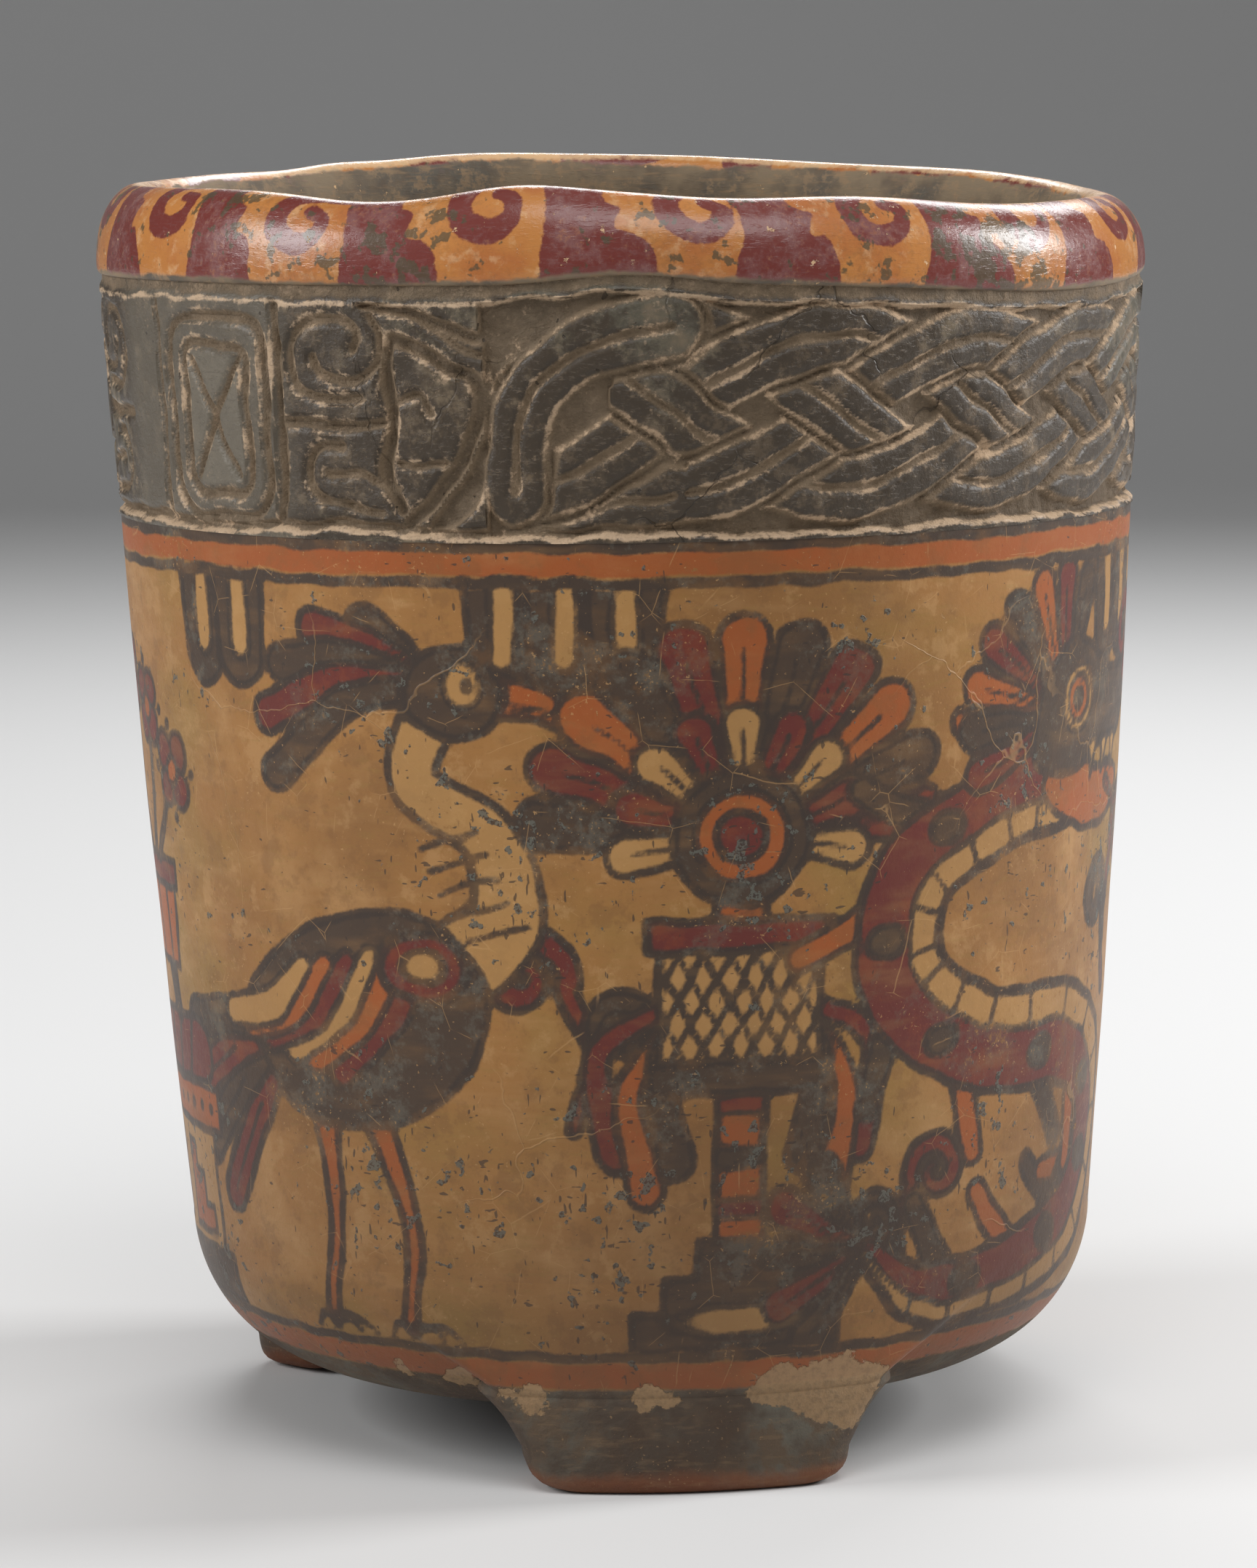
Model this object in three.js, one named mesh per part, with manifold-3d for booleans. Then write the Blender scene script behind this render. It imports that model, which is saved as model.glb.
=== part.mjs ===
// Tripod cylinder vessel of fired earthenware, in the separate pieces that a potter lutes together:
// a dished floor, a painted wall course, a carved wall course, a rolled rim coil and three slab feet.
// Millimetres, +Z up. The origin is on the standing surface, on the vessel's axis.
// Azimuth is measured round the axis in radians, from -Y (the front) towards +X.
import * as THREE from "three";
import { mergeVertices } from "three/addons/utils/BufferGeometryUtils.js";
import Module from "manifold-3d";

const wasm = await Module();
wasm.setup();

// Overall height to the crest, and heights of the courses; the painted course takes what is left
const vesselHeight = 169.4;
const undersideHeight = 8.4;
const heelRise = 20.2;
const carvedHeight = 32.5;
const rimHeight = 11.9;

// Outer radii from the heel to the rim
const undersideRadius = 43;
const heelRadius = 62.3;
const shoulderRadius = 69.2;
const neckRadius = 70.8;
const rimRadius = 71.8;
const crestRadius = 67.2;

// Wall sections
const wallThickness = 6.6;
const floorThickness = 8;
const undersideSag = 1.2;
const innerFillet = 13;
const wallSwell = 0.45;
const rimThickness = 8.6;
const lipRise = 7;
const innerLipRise = 8;
const ledgeProud = 0.35;
const ledgeHeight = 1.6;

// Slab feet, and their azimuths in degrees: the potter spaced them unevenly
const footAzimuths = { foot_front: 2.5, foot_back_right: 138, foot_back_left: -136 };
const soleWidth = 31;
const footWaist = 42.6;
const footFlare = 62;
const footSpread = 2.1;
const footWaistHeight = 4.6;
const footFlareHeight = 12;
const footFlareRise = 3.6;
const footThickness = 12;
const footSetIn = 2.5;
const footLap = 4.4;
const footLip = 1.6;
const soleEdgeRadius = 1.8;
const jointGap = 0.3;

// Carving of the upper course
const grooveWidth = 2.3;
const grooveDepth = 1.3;
const borderInset = 1.7;
const strandCount = 4;
const strandSpacing = 22.5;
const strandHalfWidth = 4.1;
const cartoucheStep = 3.1;
const outerCorner = 3.4;
const innerCorner = 2.4;
const toolLift = 0.5;
const closedOverlap = 1.5;

// Azimuths of the carved panels, in degrees, in one half of the band; the other half repeats them
const bandRepeats = 2;
const cartoucheStart = -60.5;
const cartoucheEnd = -45.3;
const panelStart = -43.4;
const plaitStart = -18.5;
const plaitEnd = 82.5;

// The hand-rolled crest rises and dips: azimuth and spread in degrees, rise in millimetres
const crestWaves = [
  { at: -12, spread: 9, rise: 0.9 },
  { at: -33, spread: 12, rise: -1.9 },
  { at: 38, spread: 16, rise: -0.7 },
  { at: 172, spread: 22, rise: 0.8 },
  { at: -128, spread: 14, rise: 0.5 },
];

// Facets round a turn, the steps along long and bent cuts, and what the carved mesh rounds off
const turnFacets = 60;
const cutStep = 6.5;
const bentStep = 2.8;
const edgeStep = 1.5;
const meshTolerance = 0.05;

const heelTop = undersideHeight + heelRise;
const bandTop = vesselHeight - rimHeight;
const bandBottom = bandTop - carvedHeight;

const halfTurn = Math.PI;
const quarterTurn = halfTurn / 2;
const degrees = halfTurn / 180;
const shareOf = (from, to, value) => (value - from) / (to - from);

// Outer radius of the wall at a height: it swells a little between the heel and the shoulder.
function outerRadius(height) {
  if (height > bandBottom) {
    return THREE.MathUtils.lerp(shoulderRadius, neckRadius, shareOf(bandBottom, bandTop, height));
  }
  const share = shareOf(heelTop, bandBottom, height);
  return THREE.MathUtils.lerp(heelRadius, shoulderRadius, share) + wallSwell * 4 * share * (1 - share);
}

// Underside and heel, from the axis out under the sagging floor and round up to the wall.
function heelProfile(facets, growth = 0) {
  const width = heelRadius - undersideRadius + growth;
  const rise = heelRise + growth;
  const heel = new THREE.EllipseCurve(undersideRadius, heelTop, width, rise, -quarterTurn, 0);
  const underside = [0, 1 / 2].map((share) => [
    undersideRadius * share,
    undersideHeight - growth - undersideSag * (1 - share * share),
  ]);
  return [...underside, ...pairsOf(heel, facets)];
}

// Points of a curve as (radius, height) pairs.
const pairsOf = (curve, steps) => curve.getPoints(steps).map((point) => [point.x, point.y]);

// A closed profile of (radius, height) points turned about the vertical axis.
function revolve(profile, closed) {
  const points = profile.map(([radius, height]) => new THREE.Vector2(radius, height));
  if (closed) points.push(points[0].clone());
  return new THREE.LatheGeometry(points, turnFacets).rotateX(quarterTurn);
}

// Boolean work: a closed geometry becomes a solid, and a solid becomes a geometry again.
function solidOf(geometry) {
  const bare = geometry.clone().deleteAttribute("normal").deleteAttribute("uv");
  const merged = mergeVertices(bare, 1e-4);
  return new wasm.Manifold(
    new wasm.Mesh({
      numProp: 3,
      vertProperties: merged.attributes.position.array,
      triVerts: new Uint32Array(merged.index.array),
    }),
  );
}

function geometryOf(solid) {
  const mesh = solid.getMesh();
  const geometry = new THREE.BufferGeometry();
  geometry.setAttribute("position", new THREE.BufferAttribute(mesh.vertProperties, 3));
  geometry.setIndex(new THREE.BufferAttribute(mesh.triVerts, 1));
  geometry.computeVertexNormals();
  return geometry;
}

// Dished floor
function floorDisc() {
  const floorTop = undersideHeight + floorThickness;
  const innerRadius = heelRadius - wallThickness;
  const rise = heelTop - floorTop;
  const inner = new THREE.EllipseCurve(
    innerRadius - innerFillet, heelTop, innerFillet, rise, 0, -quarterTurn, true,
  );
  return revolve([...heelProfile(7), ...pairsOf(inner, 3), [0, floorTop]]);
}

// Painted wall course
function paintedWall() {
  const rows = 4;
  const rowHeight = (bandBottom - heelTop) / rows;
  const heights = Array.from({ length: rows + 1 }, (_, row) => heelTop + rowHeight * row);
  const outer = heights.map((height) => [outerRadius(height), height]);
  const inner = heights.map((height) => [outerRadius(height) - wallThickness, height]).reverse();
  return revolve([...outer, ...inner], true);
}

// Carved wall course. Flat coordinates on it are the arc length at the shoulder radius and the height.
const arcOf = (azimuthDegrees) => azimuthDegrees * degrees * shoulderRadius;

// One cut of a V-shaped tool along a curve in flat coordinates, wrapped onto the wall.
// A cut that closes on itself runs on a little past its start.
function toolCut({ curve, stride, closed }, width, depth) {
  const length = curve.getLength();
  const reach = closed ? 1 + closedOverlap / length : 1;
  const steps = Math.max(2, Math.round((length * reach) / stride));
  const halfTop = (width / 2) * (1 + toolLift / depth);
  const section = new THREE.Shape([
    new THREE.Vector2(-halfTop, toolLift),
    new THREE.Vector2(0, -depth),
    new THREE.Vector2(halfTop, toolLift),
  ]);
  const cut = new THREE.ExtrudeGeometry(section, { depth: 1, steps, bevelEnabled: false });
  const position = cut.attributes.position;
  for (let i = 0; i < position.count; i++) {
    const travel = THREE.MathUtils.clamp(position.getZ(i), 0, 1) * reach;
    const along = closed ? travel % 1 : travel;
    const centre = curve.getPointAt(along);
    const tangent = curve.getTangentAt(along);
    const arc = centre.x - tangent.y * position.getX(i);
    const height = centre.y + tangent.x * position.getX(i);
    const radius = outerRadius(height) + position.getY(i);
    const azimuth = arc / shoulderRadius;
    position.setXYZ(i, radius * Math.sin(azimuth), -radius * Math.cos(azimuth), height);
  }
  return cut;
}

// The plait: every strand swings between the borders, each one strand spacing behind the last.
const plaitPeriod = strandCount * strandSpacing;
const plaitMiddle = (bandBottom + bandTop) / 2;
const plaitSwing = carvedHeight / 2 - borderInset - strandHalfWidth;
const strandPhase = (arc, strand) => (2 * halfTurn * (arc - strand * strandSpacing)) / plaitPeriod;
const strandHeight = (arc, strand) => plaitMiddle - plaitSwing * Math.cos(strandPhase(arc, strand));
const strandSlope = (arc, strand) =>
  ((2 * halfTurn) / plaitPeriod) * plaitSwing * Math.sin(strandPhase(arc, strand));

// Strands two apart cross in the middle row, where the falling one lies on top.
// Neighbours cross near the borders, where the rising one lies on top.
function liesOnTop(arc, strand, other) {
  const crossInMiddle = Math.abs(strand - other) === strandCount / 2;
  const steeper = strandSlope(arc, strand) > strandSlope(arc, other);
  return crossInMiddle ? !steeper : steeper;
}

// Whether another strand hides this point of a strand's edge.
function isHidden(arc, height, strand) {
  for (let other = 0; other < strandCount; other++) {
    if (other === strand) continue;
    const slope = strandSlope(arc, other);
    const distance = Math.abs(height - strandHeight(arc, other)) / Math.hypot(1, slope);
    if (distance < strandHalfWidth && !liesOnTop(arc, strand, other)) return true;
  }
  return false;
}

// The stretches of one edge of one strand that can be seen, as curves in flat coordinates.
function visibleEdges(strand, side) {
  const start = arcOf(plaitStart);
  const end = arcOf(plaitEnd);
  const runs = [];
  let run = [];
  for (let arc = start; arc <= end; arc += edgeStep) {
    const slope = strandSlope(arc - start, strand);
    const length = Math.hypot(1, slope);
    const edgeArc = arc - (side * strandHalfWidth * slope) / length;
    const edgeHeight = strandHeight(arc - start, strand) + (side * strandHalfWidth) / length;
    const outside = edgeArc < start || edgeArc > end;
    if (outside || isHidden(edgeArc - start, edgeHeight, strand)) {
      if (run.length > 2) runs.push(run);
      run = [];
    } else {
      run.push(new THREE.Vector2(edgeArc, edgeHeight));
    }
  }
  if (run.length > 2) runs.push(run);
  return runs.map((points) => ({ curve: new THREE.SplineCurve(points), stride: cutStep }));
}

function plaitCuts() {
  const paths = [];
  for (let strand = 0; strand < strandCount; strand++) {
    paths.push(...visibleEdges(strand, 1), ...visibleEdges(strand, -1));
  }
  return paths;
}

// A rectangle with round corners, as one closed curve.
function roundedFrame(left, right, low, high, corner) {
  const frame = new THREE.Path();
  frame.moveTo(left + corner, low);
  frame.lineTo(right - corner, low);
  frame.absarc(right - corner, low + corner, corner, -quarterTurn, 0);
  frame.lineTo(right, high - corner);
  frame.absarc(right - corner, high - corner, corner, 0, quarterTurn);
  frame.lineTo(left + corner, high);
  frame.absarc(left + corner, high - corner, corner, quarterTurn, halfTurn);
  frame.lineTo(left, low + corner);
  frame.absarc(left + corner, low + corner, corner, halfTurn, halfTurn + quarterTurn);
  return frame;
}

// A straight cut between two points.
const lineCut = (from, to) => ({ curve: new THREE.LineCurve(from, to), stride: strandSpacing });

// A freehand cut through a few points.
const bentCut = (points) => ({ curve: new THREE.SplineCurve(points), stride: bentStep });

// Upright cartouche: two nested frames and a saltire in the inner one.
function cartoucheCuts() {
  const left = arcOf(cartoucheStart);
  const right = arcOf(cartoucheEnd);
  const low = bandBottom + borderInset * 2;
  const high = bandTop - borderInset * 2;
  const inner = cartoucheStep;
  const corner = (x, y) => new THREE.Vector2(x, y);
  const [l, r, b, t] = [left + 2 * inner, right - 2 * inner, low + 2 * inner, high - 2 * inner];
  const frames = [
    roundedFrame(left, right, low, high, outerCorner),
    roundedFrame(left + inner, right - inner, low + inner, high - inner, innerCorner),
  ];
  return [
    ...frames.map((curve) => ({ curve, stride: bentStep, closed: true })),
    lineCut(corner(l, b), corner(r, t)),
    lineCut(corner(l, t), corner(r, b)),
  ];
}

// Scroll panel between an upright line and the plait. A mirrored panel closes the plait's other end.
function scrollCuts(from, to) {
  const at = ([x, y]) =>
    new THREE.Vector2(from + (to - from) * x, bandBottom + carvedHeight * y);
  const volute = [
    [0.12, 0.5], [0.08, 0.74], [0.2, 0.87], [0.36, 0.84],
    [0.42, 0.68], [0.32, 0.57], [0.22, 0.66], [0.28, 0.74],
  ];
  const hook = [[0.5, 0.14], [0.3, 0.13], [0.12, 0.22], [0.14, 0.34], [0.3, 0.36], [0.46, 0.28]];
  const lobe = [
    [0.52, 0.74], [0.46, 0.6], [0.52, 0.48], [0.5, 0.36], [0.62, 0.1],
    [0.78, 0.18], [0.86, 0.42], [0.8, 0.64], [0.52, 0.74],
  ];
  return [
    lineCut(at([0, 0.06]), at([0, 0.94])),
    bentCut(volute.map(at)),
    lineCut(at([0.03, 0.44]), at([0.42, 0.43])),
    bentCut(hook.map(at)),
    { ...bentCut(lobe.map(at)), closed: true },
    lineCut(at([0.5, 0.92]), at([0.94, 0.64])),
  ];
}

function carvedBand() {
  const innerBottom = shoulderRadius - wallThickness;
  const innerTop = neckRadius - wallThickness;
  const ledgeTop = bandBottom + ledgeHeight;
  const ring = revolve(
    [
      [shoulderRadius, bandBottom],
      [outerRadius(bandBottom + ledgeHeight / 2) + ledgeProud, bandBottom + ledgeHeight / 2],
      [outerRadius(ledgeTop), ledgeTop],
      [neckRadius, bandTop],
      [innerTop, bandTop],
      [innerBottom, bandBottom],
    ],
    true,
  );
  const toolPaths = [
    ...plaitCuts(),
    ...cartoucheCuts(),
    ...scrollCuts(arcOf(panelStart), arcOf(plaitStart)),
    ...scrollCuts(arcOf(plaitEnd + plaitStart - panelStart), arcOf(plaitEnd)),
  ];
  const cuts = toolPaths.map((path) => solidOf(toolCut(path, grooveWidth, grooveDepth)));
  const half = wasm.Manifold.union(cuts);
  let carved = solidOf(ring);
  for (let repeat = 0; repeat < bandRepeats; repeat++) {
    carved = carved.subtract(half.rotate([0, 0, (360 * repeat) / bandRepeats]));
  }
  return geometryOf(carved.simplify(meshTolerance));
}

// Rolled rim: a bulging lip whose crest waves by hand
function crestOffset(azimuth) {
  let offset = 0;
  for (const wave of crestWaves) {
    const turn = azimuth - wave.at * degrees;
    const apart = Math.atan2(Math.sin(turn), Math.cos(turn)) / (wave.spread * degrees);
    offset += wave.rise * Math.exp(-apart * apart);
  }
  return offset;
}

function rimCoil() {
  const innerRadius = rimRadius - rimThickness;
  const flare = new THREE.QuadraticBezierCurve(
    new THREE.Vector2(neckRadius, bandTop),
    new THREE.Vector2(rimRadius, bandTop),
    new THREE.Vector2(rimRadius, vesselHeight - lipRise),
  );
  const outer = new THREE.EllipseCurve(
    crestRadius, vesselHeight - lipRise, rimRadius - crestRadius, lipRise, 0, quarterTurn,
  );
  const inner = new THREE.EllipseCurve(
    crestRadius, vesselHeight - innerLipRise, crestRadius - innerRadius, innerLipRise,
    quarterTurn, halfTurn,
  );
  const rim = revolve(
    [
      ...pairsOf(flare, 2),
      ...pairsOf(outer, 4).slice(1),
      ...pairsOf(inner, 3).slice(1),
      [neckRadius - wallThickness, bandTop],
    ],
    true,
  );
  const position = rim.attributes.position;
  for (let i = 0; i < position.count; i++) {
    const azimuth = Math.atan2(position.getX(i), -position.getY(i));
    const share = THREE.MathUtils.smoothstep(position.getZ(i), bandTop, vesselHeight);
    position.setZ(i, position.getZ(i) + share * crestOffset(azimuth));
  }
  return rim;
}

// Slab foot: a piece of a turned ring, cut to the foot's outline and hollowed to sit under the heel.
function footOutline() {
  const waist = footWaist / 2;
  const spread = waist + footSpread;
  const flareStart = footFlareHeight - footFlareRise;
  const flareEnd = footFlareHeight + footFlareRise;
  const outline = new THREE.Shape();
  outline.moveTo(-soleWidth / 2, 0);
  outline.lineTo(soleWidth / 2, 0);
  outline.quadraticCurveTo(waist, 0, waist, footWaistHeight);
  outline.lineTo(spread, flareStart);
  outline.quadraticCurveTo(spread + footSpread, footFlareHeight, footFlare / 2, flareEnd);
  outline.lineTo(footFlare / 2, heelTop);
  outline.lineTo(-footFlare / 2, heelTop);
  outline.lineTo(-footFlare / 2, flareEnd);
  outline.quadraticCurveTo(-spread - footSpread, footFlareHeight, -spread, flareStart);
  outline.lineTo(-waist, footWaistHeight);
  outline.quadraticCurveTo(-waist, 0, -soleWidth / 2, 0);
  return outline;
}

// The heel grown by the joint gap, as the solid that the feet are hollowed by.
const heelSeat = () => solidOf(revolve([...heelProfile(16, jointGap), [0, heelTop]]));

function slabFoot() {
  const soleRadius = heelRadius - footSetIn;
  const lapHeight = footFlareHeight + footLap;
  const lapShare = Math.sqrt(1 - ((heelTop - lapHeight) / heelRise) ** 2);
  const lapRadius = undersideRadius + (heelRadius - undersideRadius) * lapShare + jointGap + footLip;
  const edge = new THREE.EllipseCurve(
    soleRadius - soleEdgeRadius, soleEdgeRadius, soleEdgeRadius, soleEdgeRadius, -quarterTurn, 0,
  );
  const ring = revolve(
    [
      ...pairsOf(edge, 2),
      [lapRadius, lapHeight],
      [soleRadius - footThickness, lapHeight],
      [soleRadius - footThickness, soleEdgeRadius],
      [soleRadius - footThickness + soleEdgeRadius, 0],
    ],
    true,
  );
  const blank = new THREE.ExtrudeGeometry(footOutline(), {
    depth: heelRadius * 2,
    bevelEnabled: false,
    curveSegments: 4,
  }).rotateX(quarterTurn);
  return solidOf(ring).intersect(solidOf(blank)).subtract(heelSeat());
}

function feet() {
  const foot = slabFoot();
  return Object.entries(footAzimuths).map(([name, azimuth]) => [
    name,
    geometryOf(foot.rotate([0, 0, azimuth])),
  ]);
}

// Finishes: cream and ochre slip, dark slip over the carving, and bare worn clay
const paintedSlip = new THREE.MeshStandardMaterial({ color: 0xc2935a, roughness: 0.5, metalness: 0 });
const darkSlip = new THREE.MeshStandardMaterial({ color: 0x4a4138, roughness: 0.6, metalness: 0 });
const rimSlip = new THREE.MeshStandardMaterial({ color: 0xa55f38, roughness: 0.35, metalness: 0 });
const bareClay = new THREE.MeshStandardMaterial({ color: 0x7d6a58, roughness: 0.85, metalness: 0 });

const vessel = new THREE.Group();

function addPiece(name, geometry, material) {
  const piece = new THREE.Mesh(geometry, material);
  piece.name = name;
  vessel.add(piece);
}

addPiece("floor_disc", floorDisc(), bareClay);
addPiece("painted_wall", paintedWall(), paintedSlip);
addPiece("carved_band", carvedBand(), darkSlip);
addPiece("rim_coil", rimCoil(), rimSlip);
for (const [name, geometry] of feet()) {
  addPiece(name, geometry, bareClay);
}

export default vessel;
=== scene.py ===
"""Tripod cylinder vessel of fired clay: painted wall, carved band, rolled rim and three slab feet.

Sizes are in millimetres, and azimuths in degrees from the front (-Y) towards +X. The stage and the camera are
in metres. Flat coordinates on the wall are the arc length at a face's mean radius, and the height.
"""

import math

import bmesh
import bpy
import numpy as np
from bpy.props import FloatProperty, FloatVectorProperty, IntProperty, PointerProperty
from mathutils import Matrix, Vector


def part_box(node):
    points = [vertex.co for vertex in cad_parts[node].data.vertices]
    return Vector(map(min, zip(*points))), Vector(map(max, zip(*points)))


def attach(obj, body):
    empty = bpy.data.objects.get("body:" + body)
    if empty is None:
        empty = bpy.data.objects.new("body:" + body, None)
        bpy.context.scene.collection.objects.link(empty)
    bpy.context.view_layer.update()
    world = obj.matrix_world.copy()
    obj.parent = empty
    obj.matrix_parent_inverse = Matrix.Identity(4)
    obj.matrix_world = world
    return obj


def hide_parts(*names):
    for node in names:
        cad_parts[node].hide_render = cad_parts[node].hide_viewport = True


bl_info = {
    "name": "Tripod Cylinder Vessel",
    "version": (1, 0, 0),
    "blender": (4, 5, 0),
    "location": "View3D > Sidebar > Vessel",
    "description": "Dresses a fired clay cylinder vessel with slip, painting, carving and wear",
    "category": "Add Mesh",
}

MM = 0.001
FULL_TURN = 2 * math.pi
# Signed distances are kept up to this far from an outline, and worked out up to that reach
FAR = 9.0
REACH = 4.0
BODY = "root"
# The paints in the order in which they are laid, with how far each covers what is under it
COVER = {"umber": 0.96, "maroon": 0.96, "orange": 0.86, "pale": 0.6, "line": 0.96}

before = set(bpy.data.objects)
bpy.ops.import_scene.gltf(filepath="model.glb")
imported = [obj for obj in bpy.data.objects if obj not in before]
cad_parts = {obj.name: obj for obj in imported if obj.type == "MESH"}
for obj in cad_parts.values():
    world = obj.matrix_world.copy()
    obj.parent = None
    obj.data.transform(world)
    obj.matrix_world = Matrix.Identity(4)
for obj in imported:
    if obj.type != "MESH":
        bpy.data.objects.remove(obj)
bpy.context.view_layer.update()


def cad_span(node):
    """Lowest height, highest height and largest radius of a CAD node, in millimetres."""
    low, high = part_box(node)
    return low.z / MM, high.z / MM, high.x / MM


HEEL_TOP, BAND_BOTTOM, SHOULDER_RADIUS = cad_span("painted_wall")
BAND_TOP, _, RIM_RADIUS = cad_span("rim_coil")
FLOOR_LOW, _, HEEL_RADIUS = cad_span("floor_disc")
NECK_RADIUS = cad_span("carved_band")[2]
FEET = [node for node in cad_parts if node.startswith("foot")]

# Sizes that the solids have and their boxes don't show
UNDERSIDE_HEIGHT = 8.4
UNDERSIDE_RADIUS = 43.0
UNDERSIDE_SAG = 1.2
WALL_THICKNESS = 6.6
FLOOR_THICKNESS = 8.0
INNER_FILLET = 13.0
WALL_SWELL = 0.45
CREST_RADIUS = 67.2
CREST_HEIGHT = 169.4
LIP_RISE = 7.0
INNER_LIP_RISE = 8.0
RIM_THICKNESS = 8.6
SOLE_RADIUS = 59.8
SOLE_WIDTH = 31.0
SOLE_ROUNDING = 1.8
FOOT_WAIST = 42.6
FOOT_FLARE = 62.0
FOOT_SPREAD = 2.1
WAIST_HEIGHT = 4.6
FLARE_HEIGHT = 12.0
FLARE_RISE = 3.6
FOOT_THICKNESS = 12.0
# Rise of the foot's sides outwards, above the flare, where they are hidden in the heel
FOOT_RUNOUT = 1.6

# How the crest and the top of the carved course rise and sink round the vessel: azimuth, spread and rise
CREST_WAVES = (
    (-15, 8, 1.0), (-33, 12, -1.5), (-4, 11, -1.6), (10, 12, -0.9), (38, 16, -0.7), (88, 28, -1.6),
    (172, 22, 0.8), (175, 26, 1.0), (-162, 16, 1.7), (-145, 7, 0.7), (-128, 14, 0.5),
)
NECK_WAVES = ((52, 30, -2.5), (-4, 9, 1.3), (100, 20, -0.8))
# Height of the carved course's foot, which stays level
LEVEL_COURSE = 2.0

# How far a hand strays from the turned form: broad and fine waves, and the mean
WOBBLE_BROAD = 0.28
WOBBLE_FINE = 0.09
WOBBLE_MEAN = -0.12
FLOOR_WOBBLE = 0.12
RIM_WOBBLE = 0.3
# Inwards from this radius the floor strays less and less in its round, and more in its height
STEADY_RADIUS = 40.0

# Mesh steps. A whole turn is one small sector, spun and then doubled up, because one long spin is slow.
DOUBLINGS = 5
WELD = 0.005
SHARP_EDGE = 38
WALL_TURN = 640
BAND_TURN = 1024
RIM_TURN = 896
WALL_ROW = 0.68
BAND_ROW = 0.42
FOOT_ROW = 0.72
UNDERSIDE_ROW = 2.5
FLOOR_ROW = 3.5
INNER_WALL_ROW = 9.0
INNER_BAND_ROW = 6.5
FOOT_SWEEP = 1.0
FOOT_COLUMNS = 88

# The painting's mean radius, the height that the figures stand on, and the height where the slip ends
FRIEZE_RADIUS = 66.0
FRIEZE_GROUND = 19.4
SLIP_ENDS = 14.3

# Outlines of the places beside a foot where the slip has flaked off, from the foot's middle
FLAKES = (
    ((1.5, 12.7), (6, 13.3), (10.3, 15.3), (15.8, 16.5), (20.8, 16.6), (25.5, 16.3), (29, 13.8), (27.1, 10.3),
     (24.6, 6.2), (22, 7.7), (18.2, 9.6), (12.9, 11), (7.8, 11.6)),
    ((-28, 13.7), (-23.4, 14.3), (-20, 14.1), (-22.7, 11.6), (-26, 12.3)),
    ((-39.7, 14.1), (-37.3, 15.8), (-34.2, 14.9), (-34, 13), (-38.4, 13)),
    ((-48, 14.3), (-45.9, 15.5), (-44.6, 13.9), (-47.1, 13.1)),
    ((-8.7, 13.4), (-3, 13.6), (-2.2, 11.9), (-7.9, 11.8)),
)

# How the feet run into the heel, which swells over them: heights where they vanish in it and where they end
FOOT_LEAN = 0.0715
FOOT_SHOWN = 13.0
FOOT_BURIED = 15.5
CORNER_ROUNDING = 3.4
BLEND = 0.8
SWELL_STARTS = 1.5
SWELL_FADES = 5.0
BURIED_INSET = 0.6
BURIED_TAPER = 0.8
CORNER_CROWDING = 0.35

# The rim's coil is pressed in a little, and the top of the carved course out, until they are nearly flush
RIM_TUCK = 1.5
NECK_SWELL = 0.4

# The vessel leans: its lower part stands a little to one side of the rim's axis
HEEL_SHIFT = 1.0
SHIFT_FADES = 110.0


def linear(red, green, blue):
    """A colour given as 0 to 255 in screen coding, as the linear values that Blender's sockets take."""
    share = [value / 255 for value in (red, green, blue)]
    return tuple(v / 12.92 if v <= 0.04045 else ((v + 0.055) / 1.055) ** 2.4 for v in share)


def colour_property(name, description, rgb):
    return FloatVectorProperty(
        name=name, description=description, subtype="COLOR", size=3, min=0, max=1, default=linear(*rgb)
    )


def size_property(name, description, default, low, high):
    return FloatProperty(
        name=name, description=description + " in millimetres", default=default, min=low, max=high
    )


def angle_property(name, description, degrees):
    return FloatProperty(
        name=name, description=description, default=math.radians(degrees), unit="ROTATION"
    )


class SlipSettings(bpy.types.PropertyGroup):
    """Slips and paints of the smooth wall."""

    ground: colour_property("Ground", "Ochre slip under the painting", (160, 113, 61))
    ground_dark: colour_property("Ground, dark", "Ochre slip where it is stained", (122, 85, 48))
    ground_light: colour_property("Ground, light", "Ochre slip where it is rubbed", (190, 148, 98))
    ground_olive: colour_property("Ground, olive", "Ochre slip where it fired yellower", (144, 114, 56))
    umber: colour_property("Umber", "Dark fills", (66, 53, 44))
    haze: colour_property("Haze", "Grey bloom over the dark fills", (96, 95, 86))
    maroon: colour_property("Maroon", "Dark red fills", (98, 38, 36))
    orange: colour_property("Orange", "Orange fills and stripes", (156, 78, 34))
    pale: colour_property("Pale", "Light fills", (180, 138, 84))
    line: colour_property("Line", "Brush outlines", (60, 49, 42))
    clay: colour_property("Clay", "Bare fired clay", (88, 74, 60))
    clay_tan: colour_property("Tan clay", "Rubbed clay", (146, 118, 86))
    inside: colour_property("Inside", "Dark slip inside the vessel", (126, 109, 86))
    outline_width: size_property("Outline width", "Width of the brush outlines", 1.25, 0.4, 3)


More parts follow.
